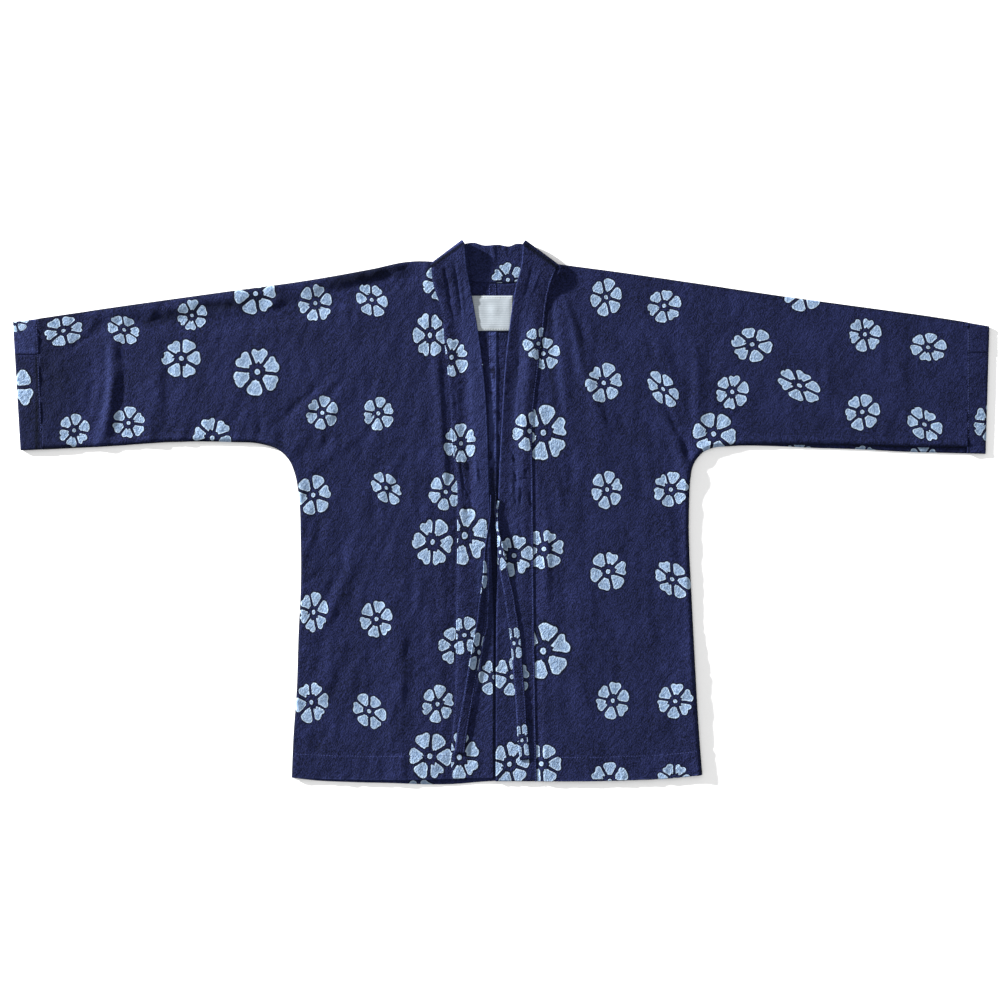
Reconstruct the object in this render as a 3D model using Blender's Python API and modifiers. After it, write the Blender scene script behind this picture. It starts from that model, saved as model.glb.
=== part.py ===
# A cotton haori, an open Japanese jacket, laid flat on its back with both fronts up.
# Every length is in millimetres and turned into metres where a mesh is filled.
# X runs along the sleeves, Y from hem to collar and Z up. "Left" and "right" are as seen from the front.
# The back panels lie flat, the fronts lie on them, and the collar band runs up one front edge, round the
# back of the neck and down the other.

import bpy
import bmesh
import numpy as np

MM = 0.001

# Walls of cloth
CLOTH_WALL = 1.2        # a body panel, one layer with its turnings
CUFF_WALL = 1.5         # turned-up sleeve end
BAND_WALL = 2.2         # collar band, folded double
TIE_WALL = 1.2
LABEL_WALL = 1.0
SEAM_GAP = 0.3          # between pieces that are sewn together or lie on each other
CUFF_GAP = 0.45         # between a sleeve end and its cuff, whose walls lean a little

# Sizes of the pieces
LABEL_WIDTH = 60.0
LABEL_HEIGHT = 49.0
LABEL_TOP = 302.8
LABEL_X = -13.5         # middle of the label, a little off the centre-back seam
CENTRE_BACK = -6.3      # where the centre-back seam runs

# How the fronts lie
LOFT = 1.3              # how far a front stands above its own seamed edge
ROLL = 14.0             # width of the rounded margin along the seamed edges
SEAM_EASE = 22.0        # width over which a front rises to its collar seam
BAND_EASE = 0.4         # sideways room between the collar band and the panels

# Sleeve ends: how far the stiff cuff seam stands up, from which X on, and how much higher the mouth stands
SLEEVE_LIFT = {"left": (1.5, 585.0), "right": (0.3, 600.0)}
CUFF_FLARE = {"left": 0.9, "right": 0.2}
CUFF_SWELL = 0.6        # how much the middle of a flattened cuff stands above its folded edges
CUFF_LENGTH = 180.0     # round one side of a flattened sleeve end

# Mesh steps
PANEL_STEP = 16.0
BAND_STEP = 19.0
BAND_ACROSS = 8
TURN_STEPS = 7
OUTLINE_STEP = 14.0
TIE_STEP = 16.0
CUFF_STEP = 17.0

# Collar band fold at each shoulder: half circles that grow from the neck seam to the free edge
TURN_SEAM = {"left": 3.2, "right": 4.3}
TURN_EDGE = 5.2
BACK_SEAM_Z = BAND_WALL / 2 + 0.05
BACK_EDGE_Z = BACK_SEAM_Z + 1.0
BAND_LOW = CLOTH_WALL + SEAM_GAP + BAND_WALL / 2    # lowest middle layer of the band where it lies on the back

# Shares of the band's width where its heights are given
BAND_KNOTS = {"left": (0.0, 0.14, 0.36, 0.62, 1.0), "right": (0.0, 0.09, 0.21, 0.62, 1.0)}

FRONT_EDGE_Z = CLOTH_WALL + SEAM_GAP + CLOTH_WALL / 2

INDIGO = (0.020, 0.022, 0.078, 1.0)
CREAM = (0.69, 0.70, 0.66, 1.0)


def table(columns, *rows):
    """A table as a dictionary of columns."""
    values = np.array(rows, dtype=float)
    return {name: values[:, i] for i, name in enumerate(columns.split())}


# Outlines, from the sleeve end towards the neck, from the sleeve end down to the hem, and so on
SLEEVE_TOP = {
    "left": table("x y", (-648.5, 270.4), (-544.9, 285.8), (-404.9, 305.4), (-264.9, 325.0),
                  (-180.9, 340.4), (-124.9, 350.9), (-103.0, 350.2)),
    "right": table("x y", (652.8, 265.4), (603.0, 273.2), (491.0, 288.6), (379.0, 304.0), (267.1, 320.8),
                   (183.0, 333.4), (99.0, 344.6), (83.0, 346.6)),
}
UNDERARM = {
    "left": table("x y", (-641.5, 87.8), (-544.9, 92.6), (-460.9, 98.2), (-376.9, 98.2), (-334.9, 95.4),
                  (-311.1, 87.0), (-295.8, 71.6), (-288.8, 54.8), (-283.1, 24.0), (-280.3, -39.0),
                  (-280.3, -109.0), (-283.1, -165.0), (-285.9, -249.0), (-290.8, -319.0),
                  (-292.9, -371.5)),
    "right": table("x y", (652.8, 82.2), (575.0, 84.2), (491.0, 88.4), (435.0, 90.1), (379.0, 92.6),
                   (323.0, 92.6), (295.0, 89.8), (282.4, 84.2), (274.0, 75.8), (267.8, 64.6),
                   (264.2, 45.0), (262.8, 17.0), (262.1, -18.0), (262.8, -53.0), (265.6, -109.0),
                   (269.8, -193.0), (274.0, -270.0), (278.2, -333.0), (281.0, -367.6)),
}
# The right sleeve is rolled so that its underarm seam shows on the front, above the folded edge
SEAM_ROLL = {
    "left": table("x inset", (-641.5, 0.0), (-300.0, 0.0)),
    "right": table("x inset", (330.0, 0.0), (379.0, 1.8), (435.0, 4.0), (491.0, 5.2), (575.0, 6.8),
                   (652.8, 8.0)),
}
FRONT_HEM = {
    "left": table("x y", (-292.9, -371.5), (-239.7, -373.9), (-141.8, -375.0), (-69.0, -373.6)),
    "right": table("x y", (281.0, -367.6), (239.0, -372.2), (183.0, -375.0), (127.0, -376.4),
                   (50.0, -376.6)),
}
BACK_HEM = table("x y", (-292.9, -371.5), (-264.9, -375.0), (-208.9, -377.8), (-152.9, -379.2),
                 (-96.9, -380.9), (-68.9, -380.6), (-25.5, -377.1), (15.0, -375.0), (138.2, -374.6),
                 (239.0, -370.8), (281.0, -367.6))
FRONT_SEAM = {
    "left": table("x y", (-69.9, -373.6), (-69.2, -319.0), (-65.3, -263.0), (-62.7, -123.0),
                  (-61.5, -11.0), (-62.2, 45.0), (-68.3, 94.0), (-70.7, 150.0), (-75.2, 199.0),
                  (-80.1, 245.2), (-82.9, 280.2), (-88.1, 297.0), (-95.5, 319.4), (-100.6, 337.0),
                  (-103.0, 350.2)),
    "right": table("x y", (50.0, -376.6), (45.8, -123.0), (44.4, 45.0), (43.8, 101.0), (44.4, 129.0),
                   (48.6, 171.0), (52.8, 204.6), (55.6, 234.0), (59.1, 255.0), (61.8, 280.9),
                   (64.2, 298.4), (71.2, 322.0), (80.6, 336.0), (83.0, 346.6)),
}
NECK = table("x y", (-103.0, 350.2), (-100.6, 341.0), (-88.0, 334.0), (-71.8, 329.4), (-36.8, 322.2),
             (-5.9, 320.4), (24.8, 322.0), (55.0, 329.0), (74.6, 335.8), (83.0, 346.6))

# Collar band: seam and free edge of each front part, from the shoulder fold to the hem, then the back part
BAND_SEAM = {
    "left": table("x y", (-97.6, 343.8), (-95.0, 320.0), (-87.6, 297.0), (-82.4, 280.2), (-79.6, 245.2),
                  (-74.7, 199.0), (-70.2, 150.0), (-67.8, 94.0), (-61.7, 45.0), (-61.0, -11.0),
                  (-62.2, -123.0), (-64.8, -263.0), (-68.7, -319.0), (-69.4, -372.9)),
    "right": table("x y", (77.5, 341.9), (69.4, 322.0), (63.6, 298.4), (61.3, 280.9), (58.6, 255.0),
                   (55.1, 234.0), (52.3, 204.6), (48.1, 171.0), (43.9, 129.0), (43.3, 101.0),
                   (43.9, 45.0), (45.3, -123.0), (49.5, -376.4)),
}
BAND_EDGE = {
    "left": table("x y", (-51.3, 375.7), (-49.3, 350.2), (-42.3, 309.6), (-32.5, 253.6), (-24.1, 187.8),
                  (-19.9, 129.0), (-17.1, 32.4), (-13.4, -67.0), (-11.2, -123.0), (-10.3, -372.9)),
    "right": table("x y", (30.4, 375.3), (28.9, 350.2), (19.2, 309.6), (10.8, 253.6), (4.7, 194.8),
                   (1.0, 129.0), (-3.1, 45.0), (-5.6, -67.0), (-6.6, -123.0), (-7.6, -376.4)),
}
BACK_EDGE = table("x y", (-51.3, 375.7), (-39.5, 377.2), (-24.1, 373.4), (-3.1, 374.2), (10.8, 372.1),
                  (22.0, 375.8), (30.4, 375.3))
BACK_SEAM = table("x y", (-97.6, 343.8), (-87.0, 336.4), (-71.0, 330.4), (-36.6, 323.1), (-5.9, 321.2),
                  (24.6, 322.9), (54.4, 330.0), (70.0, 336.4), (77.5, 341.9))

# Height of the band's middle layer across each front part, by share of the way from the fold to the hem
BAND_RISE = {
    "left": table("share seam inner low ridge edge", (0.00, 7.55, 8.25, 9.35, 10.65, 12.55),
                  (0.025, 6.4, 7.0, 7.8, 8.8, 10.9), (0.055, 4.6, 4.9, 5.2, 6.0, 7.8),
                  (0.10, 3.8, 3.8, 3.6, 4.2, 4.8), (0.16, 3.9, 3.6, 3.0, 4.0, 4.2),
                  (0.24, 4.2, 3.6, 2.8, 4.0, 3.8), (0.34, 4.0, 3.4, 2.6, 4.1, 3.3),
                  (0.46, 3.3, 3.1, 2.6, 3.7, 3.0), (0.62, 2.9, 3.1, 2.6, 2.7, 2.9),
                  (1.00, 2.7, 2.7, 2.6, 2.6, 2.7)),
    "right": table("share seam inner low ridge edge", (0.00, 9.75, 10.0, 10.34, 11.49, 12.55),
                   (0.021, 10.4, 10.2, 10.3, 11.0, 12.0), (0.047, 6.9, 7.0, 7.7, 9.0, 10.6),
                   (0.07, 5.2, 5.2, 5.6, 7.0, 9.0), (0.12, 3.8, 4.2, 4.9, 4.7, 6.2),
                   (0.17, 3.7, 4.4, 5.2, 3.3, 5.1), (0.25, 3.7, 4.4, 5.4, 2.8, 4.9),
                   (0.34, 3.7, 4.1, 4.9, 2.7, 4.2), (0.46, 3.5, 3.3, 3.8, 3.0, 3.4),
                   (0.62, 2.9, 2.6, 3.0, 2.6, 3.0), (1.00, 2.6, 2.6, 2.7, 2.6, 2.6)),
}

# Ties: middle line, how far it is off the band, how much its left edge stands above its right one (below
# it if negative), and width. The upper ends are folded lengthwise where they are sewn on.
TIES = {
    "left": table("x y lift tilt width", (-14.0, 24.0, 0.2, 2.6, 3.6), (-15.2, -11.0, 0.4, 3.2, 4.2),
                  (-18.0, -28.0, 0.5, 3.4, 4.6), (-20.8, -46.0, 0.4, 3.2, 4.8),
                  (-21.8, -61.0, 0.3, 3.0, 5.4), (-22.4, -88.0, 0.2, 3.2, 7.0),
                  (-23.6, -108.0, 0.1, 3.6, 9.6), (-25.4, -130.0, 0.1, 3.8, 12.8),
                  (-26.8, -151.0, 0.1, 4.0, 14.0), (-32.6, -182.0, 0.2, 3.6, 14.0),
                  (-46.5, -263.0, 0.5, 1.5, 14.0), (-54.0, -305.0, 0.4, 0.6, 14.0),
                  (-58.6, -337.0, 0.3, 0.2, 14.0)),
    "right": table("x y lift tilt width", (-4.0, 16.0, 0.1, -0.2, 3.0), (-6.2, 1.6, 0.1, -0.4, 3.8),
                   (-6.5, -11.0, 0.3, -1.2, 4.3), (-5.7, -23.6, 0.5, -2.4, 4.4),
                   (-3.9, -32.0, 0.6, -3.0, 5.2), (-1.6, -46.0, 0.4, -3.0, 8.6),
                   (0.2, -61.4, 0.4, -2.2, 9.8), (4.8, -88.0, 0.4, -0.5, 11.8),
                   (9.4, -109.0, 0.3, 0.2, 12.8), (13.0, -130.0, 0.2, 0.4, 13.6),
                   (19.9, -179.0, 0.2, 0.4, 14.0), (23.4, -221.0, 0.2, 0.3, 14.0),
                   (27.0, -263.0, 0.2, 0.3, 14.0), (30.8, -326.0, 0.2, 0.2, 14.0),
                   (33.0, -346.3, 0.2, 0.1, 14.0)),
}

# Largest folds of each front: a soft ridge from start to end, bowed sideways, or a trough if negative
FOLDS = {
    "left": table("x0 y0 x1 y1 bow half height start end",
                  (-560.0, 276.0, -118.0, 346.0, -3.0, 17.0, 2.6, 0.5, 0.9),
                  (-575.0, 262.0, -112.0, 334.0, -26.0, 20.0, -1.5, 0.0, 0.9),
                  (-543.5, 243.8, -561.0, 92.0, 9.0, 11.5, 2.7, 0.2, 0.8),
                  (-484.0, 204.0, -490.0, 96.0, 4.0, 22.0, 1.5, 0.0, 0.8),
                  (-297.0, 84.0, -206.0, 192.0, -8.0, 17.0, 1.6, 0.3, 0.0),
                  (-262.0, 60.0, -190.0, 110.0, 6.0, 15.0, 1.3, 0.3, 0.0),
                  (-92.0, 262.0, -84.0, 36.0, 6.0, 14.0, 3.0, 0.0, 0.0),
                  (-282.0, -190.0, -196.0, -36.0, -10.0, 21.0, 1.5, 0.2, 0.0),
                  (-276.0, -290.0, -226.0, -160.0, -8.0, 22.0, 1.3, 0.2, 0.0),
                  (-138.0, -60.0, -142.0, -370.0, -6.0, 24.0, 1.5, 0.0, 0.7)),
    "right": table("x0 y0 x1 y1 bow half height start end",
                   (82.0, 292.0, 141.0, 38.0, 14.0, 18.0, 1.6, 0.4, 0.0),
                   (183.0, 312.0, 256.0, 76.0, 14.0, 19.0, 1.5, 0.0, 0.4),
                   (240.0, 170.0, 262.0, 58.0, 5.0, 9.0, -1.3, 0.0, 0.4),
                   (276.0, 244.0, 276.0, 104.0, 3.0, 15.0, 1.1, 0.0, 0.6),
                   (63.0, 60.0, 64.0, -152.0, 1.0, 10.0, 1.9, 0.0, 0.0),
                   (198.0, 66.0, 250.0, -120.0, 8.0, 22.0, 1.4, 0.0, 0.0),
                   (112.0, -70.0, 122.0, -340.0, -4.0, 24.0, 1.2, 0.0, 0.4),
                   (232.0, -190.0, 262.0, -340.0, 6.0, 20.0, 1.3, 0.0, 0.4)),
}


def soft_step(t):
    t = np.clip(t, 0.0, 1.0)
    return t * t * (3.0 - 2.0 * t)


def smooth(knots, values, at):
    """Values at some places between knots, along a smooth line through them."""
    values = np.asarray(values, dtype=float)
    slopes = np.gradient(values, knots, axis=0)
    at = np.clip(at, knots[0], knots[-1])
    i = np.clip(np.searchsorted(knots, at, side="right") - 1, 0, len(knots) - 2)
    span = knots[i + 1] - knots[i]
    t = (at - knots[i]) / span
    if values.ndim == 2:
        span = span[:, None]
        t = t[:, None]
    return (values[i] * (1 + 2 * t) * (1 - t) ** 2 + slopes[i] * span * t * (1 - t) ** 2
            + values[i + 1] * t * t * (3 - 2 * t) + slopes[i + 1] * span * t * t * (t - 1))


def path(rows):
    """A smooth line through a table's points, as a function of the share of its length."""
    points = np.column_stack([rows["x"], rows["y"]])
    walked = np.concatenate([[0.0], np.cumsum(np.linalg.norm(np.diff(points, axis=0), axis=1))])
    return lambda share: smooth(walked / walked[-1], points, np.atleast_1d(share))


def stretch(line, start, end):
    return lambda share: line(start + (end - start) * np.atleast_1d(share))


def straight(start, end):
    return lambda share: start + (end - start) * np.atleast_1d(share)[:, None]


def length(line):
    return np.linalg.norm(np.diff(line(np.linspace(0, 1, 60)), axis=0), axis=1).sum()


def patch(bottom, top, left, right, across, along):
    """Points of a four-sided patch between lines, (along + 1) rows of (across + 1)."""
    u = np.linspace(0, 1, across + 1)
    v = np.linspace(0, 1, along + 1)
    b, t, l, r = bottom(u)[None], top(u)[None], left(v)[:, None], right(v)[:, None]
    u, v = u[None, :, None], v[:, None, None]
    corners = ((1 - u) * (1 - v) * b[:, :1] + u * (1 - v) * b[:, -1:]
               + (1 - u) * v * t[:, :1] + u * v * t[:, -1:])
    return (1 - v) * b + v * t + (1 - u) * l + u * r - corners


def distance(x, y, line, steps=90):
    """How far points are from a line."""
    knots = line(np.linspace(0, 1, steps))
    start, way = knots[:-1], np.diff(knots, axis=0)
    dx = x[:, None] - start[None, :, 0]
    dy = y[:, None] - start[None, :, 1]
    along = np.clip((dx * way[:, 0] + dy * way[:, 1]) / (way ** 2).sum(axis=1), 0, 1)
    return np.hypot(dx - along * way[:, 0], dy - along * way[:, 1]).min(axis=1)


def folded(x, y, folds):
    """Height that a table of folds adds at some points."""
    total = np.zeros_like(x)
    for x0, y0, x1, y1, bow, half, height, start, end in zip(*folds.values()):
        way = np.hypot(x1 - x0, y1 - y0)
        ux, uy = (x1 - x0) / way, (y1 - y0) / way
        along = ((x - x0) * ux + (y - y0) * uy) / way
        past = (along - np.clip(along, 0, 1)) * way
        along = np.clip(along, 0, 1)
        side = (y - y0) * ux - (x - x0) * uy - 4 * bow * along * (1 - along)
        near = np.clip(np.hypot(side, past) / half, 0, 1)
        ends = np.where(along < 0.5, start, end)
        fade = ends + (1 - ends) * (1 - np.abs(2 * along - 1) ** 2)
        total += height * fade * 0.5 * (1 + np.cos(np.pi * near))
    return total


def band_row(side, share):
    """Heights of the band across a front part, at some shares of the way down."""
    rise = BAND_RISE[side]
    heights = np.column_stack([rise[k] for k in ("seam", "inner", "low", "ridge", "edge")])
    return np.maximum(smooth(rise["share"], heights, np.atleast_1d(share)), BAND_LOW)


def band_across(side, heights, t):
    """Height at share t of the band's width, from the five heights of its row."""
    made = [smooth(np.array(BAND_KNOTS[side]), row, np.atleast_1d(s))[0] for row, s in zip(heights, t)]
    return np.maximum(made, BAND_LOW)


def band_height(side, x, y):
    """Height of the band's middle layer at points that lie on a front part, below the neck."""
    shares = np.linspace(0, 1, 200)
    seam = path(BAND_SEAM[side])(shares)
    edge = path(BAND_EDGE[side])(shares)
    seam_x = np.interp(-y, -seam[:, 1], seam[:, 0])
    edge_x = np.interp(-y, -edge[:, 1], edge[:, 0])
    t = np.clip((x - seam_x) / (edge_x - seam_x), 0, 1)
    share = (1 - t) * np.interp(-y, -seam[:, 1], shares) + t * np.interp(-y, -edge[:, 1], shares)
    return band_across(side, band_row(side, share), t)


def underarm_front(side):
    """The front's underarm and side line, set in where the sleeve is rolled."""
    rows = {k: v.copy() for k, v in UNDERARM[side].items()}
    roll = SEAM_ROLL[side]
    rows["y"] += np.interp(rows["x"], roll["x"], roll["inset"]) * (rows["y"] > 80.0)
    return rows


def front_height(side, x, y):
    """Height of a front panel's middle layer."""
    rim = np.minimum(distance(x, y, path(SLEEVE_TOP[side])), distance(x, y, path(underarm_front(side))))
    seam = distance(x, y, path(FRONT_SEAM[side]))
    share = np.interp(-y, [-345.0, 375.0], [0.0, 1.0])
    at_seam = band_row(side, share)[:, 0] - FRONT_EDGE_Z
    lift, start = SLEEVE_LIFT[side]
    rise = LOFT + folded(x, y, FOLDS[side]) + lift * soft_step((np.abs(x) - start) / (650.0 - start))
    rise = rise + (at_seam - rise) * (1 - soft_step(seam / SEAM_EASE))
    rise = 0.5 * (rise + np.sqrt(rise * rise + 0.09))
    return FRONT_EDGE_Z + rise * soft_step(rim / ROLL)


def panel_patches(side):
    """Sleeve, upper body and lower body of a front, as point grids that share their edges."""
    top = path(SLEEVE_TOP[side])
    under = path(underarm_front(side))
    seam = path(FRONT_SEAM[side])
    hem = path(FRONT_HEM[side])
    shoulder_at = 0.62 if side == "left" else 0.66
    armpit_at = 0.435 if side == "left" else 0.475
    waist_at = 0.60
    shoulder, armpit, waist = top(shoulder_at)[0], under(armpit_at)[0], seam(waist_at)[0]
    split = straight(armpit, shoulder)
    level = straight(armpit, waist)
    side_seam, band_line = stretch(under, 1.0, armpit_at), stretch(seam, 0.0, waist_at)
    across = round(length(level) / PANEL_STEP)
    sleeve_across = round(length(stretch(top, 0.0, shoulder_at)) / PANEL_STEP)
    along = round(length(split) / PANEL_STEP)
    down = round(length(side_seam) / PANEL_STEP)
    return [
        patch(stretch(under, 0.0, armpit_at), stretch(top, 0.0, shoulder_at),
              straight(under(0.0)[0], top(0.0)[0]), split, sleeve_across, along),
        patch(level, stretch(top, shoulder_at, 1.0), split, stretch(seam, waist_at, 1.0), across, along),
        patch(hem, level, side_seam, band_line, across, down),
    ]


def band_points():
    """The whole collar band as rows of points from the left hem, round the neck, to the right hem."""
    t = np.linspace(0, 1, BAND_ACROSS + 1)
    rows = []

    def front(side):
        seam, edge = path(BAND_SEAM[side]), path(BAND_EDGE[side])
        count = round(length(edge) / BAND_STEP)
        made = []
        for share in np.linspace(0, 1, count + 1)[1:]:
            flat = seam(share) + (edge(share) - seam(share)) * t[:, None]
            heights = band_across(side, np.repeat(band_row(side, share), len(t), axis=0), t)
            made.append(np.column_stack([flat, heights]))
        return made

    def turn(side):
        start = np.array([BAND_SEAM[side]["x"][0], BAND_SEAM[side]["y"][0]])
        end = np.array([BAND_EDGE[side]["x"][0], BAND_EDGE[side]["y"][0]])
        way = (end - start) / np.linalg.norm(end - start)
        out = np.array([-way[1], way[0]]) * (1 if side == "left" else -1)
        radius = TURN_SEAM[side] + (TURN_EDGE - TURN_SEAM[side]) * t
        under = BACK_SEAM_Z + (BACK_EDGE_Z - BACK_SEAM_Z) * t
        made = []
        for angle in np.linspace(0, np.pi, TURN_STEPS + 1):
            flat = start + (end - start) * t[:, None] + out * (radius * np.sin(angle))[:, None]
            made.append(np.column_stack([flat, under + radius * (1 - np.cos(angle))]))
        return made

    def back():
        seam, edge = path(BACK_SEAM), path(BACK_EDGE)
        count = round(length(seam) / BAND_STEP)
        made = []
        for share in np.linspace(0, 1, count + 1)[1:-1]:
            flat = seam(share) + (edge(share) - seam(share)) * t[:, None]
            made.append(np.column_stack([flat, BACK_SEAM_Z + (BACK_EDGE_Z - BACK_SEAM_Z) * t]))
        return made

    rows += front("left")[::-1]
    rows += turn("left")[::-1]
    rows += back()
    rows += turn("right")
    rows += front("right")
    return np.array(rows)


def cuff_points(side):
    """A flattened tube for a sleeve end: rings from the cuff seam out to the opening."""
    sign = -1 if side == "left" else 1
    seam_top = np.array([SLEEVE_TOP[side]["x"][0], SLEEVE_TOP[side]["y"][0]]) + (sign * CUFF_GAP, 0)
    seam_low = np.array([UNDERARM[side]["x"][0], UNDERARM[side]["y"][0]]) + (sign * CUFF_GAP, 0)
    open_top, open_low = {
        "left": ((-682.8, 266.2), (-672.3, 86.3)),
        "right": ((682.8, 260.1), (677.6, 81.6)),
    }[side]
    count = round(CUFF_LENGTH / CUFF_STEP)
    rings = []
    for share in np.linspace(0, 1, 3):
        top_z = FRONT_EDGE_Z + LOFT + SLEEVE_LIFT[side][0] + CUFF_FLARE[side] * share
        radius = (top_z - CUFF_WALL / 2) / 2
        inset = radius + CUFF_WALL / 2
        high = seam_top + (np.array(open_top) - seam_top) * share
        low = seam_low + (np.array(open_low) - seam_low) * share
        way = (low - high) / np.linalg.norm(low - high)
        high, low = high + way * inset, low - way * inset
        ring = []
        for s in np.linspace(0, 1, count + 1):
            spot = high + (low - high) * s
            ring.append((*spot, top_z + CUFF_SWELL * np.sin(np.pi * s) ** 0.7))
        for angle in np.linspace(0, np.pi, 5)[1:-1]:
            spot = low + way * radius * np.sin(angle)
            ring.append((*spot, CUFF_WALL / 2 + radius * (1 + np.cos(angle))))
        for s in np.linspace(1, 0, count + 1):
            ring.append((*(high + (low - high) * s), CUFF_WALL / 2))
        for angle in np.linspace(0, np.pi, 5)[1:-1]:
            spot = high - way * radius * np.sin(angle)
            ring.append((*spot, CUFF_WALL / 2 + radius * (1 - np.cos(angle))))
        ring.append(ring[0])
        rings.append(ring)
    return np.array(rings)


def tie_points(side):
    """A flat tie: it starts at the band's free edge and lies down along the band."""
    rows = TIES[side]
    line = path(rows)
    count = round(length(line) / TIE_STEP)
    made = []
    shares = np.linspace(0, 1, count + 1)
    points = line(shares)
    ways = np.gradient(points, axis=0)
    ways /= np.linalg.norm(ways, axis=1)[:, None]
    for point, way in zip(points, ways):
        lift = np.interp(-point[1], -rows["y"], rows["lift"])
        tilt = np.interp(-point[1], -rows["y"], rows["tilt"])
        across = np.array([-way[1], way[0]])
        width = np.interp(-point[1], -rows["y"], rows["width"])
        half = 0.5 * np.sqrt(width ** 2 - tilt ** 2)
        t = np.linspace(-1, 1, 4)
        flat = point + across * (t * half)[:, None]
        under = np.array([band_height(side, flat[:, 0] + e, flat[:, 1]) for e in (-4.0, 0.0, 4.0)]).max(axis=0)
        lean = 0.5 * np.abs(tilt) * (1 - t if tilt > 0 else 1 + t)
        height = under + (BAND_WALL + TIE_WALL) / 2 + SEAM_GAP + lift + lean
        made.append(np.column_stack([flat, height]))
    return np.array(made)


def label_points():
    """A flat label sewn to the back below the neck seam."""
    xs = LABEL_X + np.linspace(-0.5, 0.5, 5) * LABEL_WIDTH
    ys = LABEL_TOP - LABEL_HEIGHT + np.linspace(0, 1, 4) * LABEL_HEIGHT
    grid_x, grid_y = np.meshgrid(xs, ys)
    return np.dstack([grid_x, grid_y, np.full_like(grid_x, CLOTH_WALL + SEAM_GAP + LABEL_WALL / 2)])


haori = bpy.data.collections.new("Haori")


def material(name, colour, roughness):
    made = bpy.data.materials.new(name)
    made.use_nodes = True
    shader = made.node_tree.nodes["Principled BSDF"]
    shader.inputs["Base Color"].default_value = colour
    shader.inputs["Roughness"].default_value = roughness
    shader.inputs["Metallic"].default_value = 0.0
    return made


def add_object(name, data, colour, roughness):
    data.materials.append(material(name + " cloth", colour, roughness))
    made = bpy.data.objects.new(name, data)
    haori.objects.link(made)
    made.parent = origin
    return made


def sheet(name, grids, wall, colour=INDIGO, roughness=0.85, upward=True):
    """A cloth wall on grids of middle-layer points, given in millimetres."""
    bm = bmesh.new()
    for points in grids:
        rows, cols = points.shape[:2]
        made = bmesh.ops.create_grid(bm, x_segments=cols - 1, y_segments=rows - 1, size=0.5)
        for vert in made["verts"]:
            row = round((vert.co.y + 0.5) * (rows - 1))
            col = round((vert.co.x + 0.5) * (cols - 1))
            vert.co = points[row, col] * MM
    bmesh.ops.remove_doubles(bm, verts=bm.verts, dist=0.00005)
    if upward:
        bm.normal_update()
        if sum(face.normal.z * face.calc_area() for face in bm.faces) < 0:
            bmesh.ops.reverse_faces(bm, faces=bm.faces)
    mesh = bpy.data.meshes.new(name)
    bm.to_mesh(mesh)
    bm.free()
    mesh.shade_smooth()
    made = add_object(name, mesh, colour, roughness)
    solidify = made.modifiers.new("Cloth wall", "SOLIDIFY")
    solidify.thickness = wall * MM
    solidify.offset = 0.0
    solidify.use_even_offset = True
    solidify.use_quality_normals = True
    return made


def flat_panel(name, outline):
    """A flat cloth wall inside a closed outline, lying on the ground."""
    curve = bpy.data.curves.new(name, "CURVE")
    curve.dimensions = "2D"
    curve.fill_mode = "BOTH"
    curve.extrude = CLOTH_WALL / 2 * MM
    spline = curve.splines.new("POLY")
    spline.points.add(len(outline) - 1)
    for point, (x, y) in zip(spline.points, outline):
        point.co = (x * MM, y * MM, 0.0, 1.0)
    spline.use_cyclic_u = True
    made = add_object(name, curve, INDIGO, 0.85)
    made.location.z = CLOTH_WALL / 2 * MM
    return made


def back_outline(side):
    """Closed outline of a back panel with its half sleeve."""
    sign = -1 if side == "left" else 1
    mid = CENTRE_BACK + sign * SEAM_GAP / 2
    fine = []
    for line in (path(SLEEVE_TOP[side]), path(UNDERARM[side])):
        fine.append(line(np.linspace(0, 1, round(length(line) / OUTLINE_STEP) + 1)))
    across = {}
    for key, rows in (("hem", BACK_HEM), ("neck", NECK)):
        line = path(rows)(np.linspace(0, 1, round(length(path(rows)) / OUTLINE_STEP) + 1))
        kept = line[(line[:, 0] - mid) * sign > 2.0]
        kept = kept[np.argsort(sign * kept[:, 0])]
        level = np.interp(mid, line[:, 0], line[:, 1])
        across[key] = np.vstack([[mid, level], kept])
    top, under = fine
    # Round from the centre neck to the shoulder, sleeve end, side, hem and back to the centre
    return np.vstack([across["neck"], top[::-1][1:], under, across["hem"][::-1][1:]])


for old in list(bpy.data.objects):
    bpy.data.objects.remove(old, do_unlink=True)
bpy.context.scene.collection.children.link(haori)
origin = bpy.data.objects.new("haori_origin", None)
haori.objects.link(origin)

for side in ("left", "right"):
    flat_panel("back_" + side, back_outline(side))
    grids = []
    for grid in panel_patches(side):
        x, y = grid[..., 0].ravel(), grid[..., 1].ravel()
        z = front_height(side, x, y)
        grids.append(np.dstack([grid, z.reshape(grid.shape[:2])]))
    sheet("front_" + side, grids, CLOTH_WALL)
    sheet("cuff_" + side, [cuff_points(side)], CUFF_WALL, upward=False)
    sheet("tie_" + side, [tie_points(side)], TIE_WALL)
sheet("collar", [band_points()], BAND_WALL, upward=False)
sheet("label", [label_points()], LABEL_WALL, CREAM, 0.8)
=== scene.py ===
# A cotton haori laid flat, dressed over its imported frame: panels, collar band, cuffs, ties, label and sewing.
# Tables are in millimetres and meshes in metres. X runs along the sleeves, Y from hem to collar and Z up.

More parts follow.
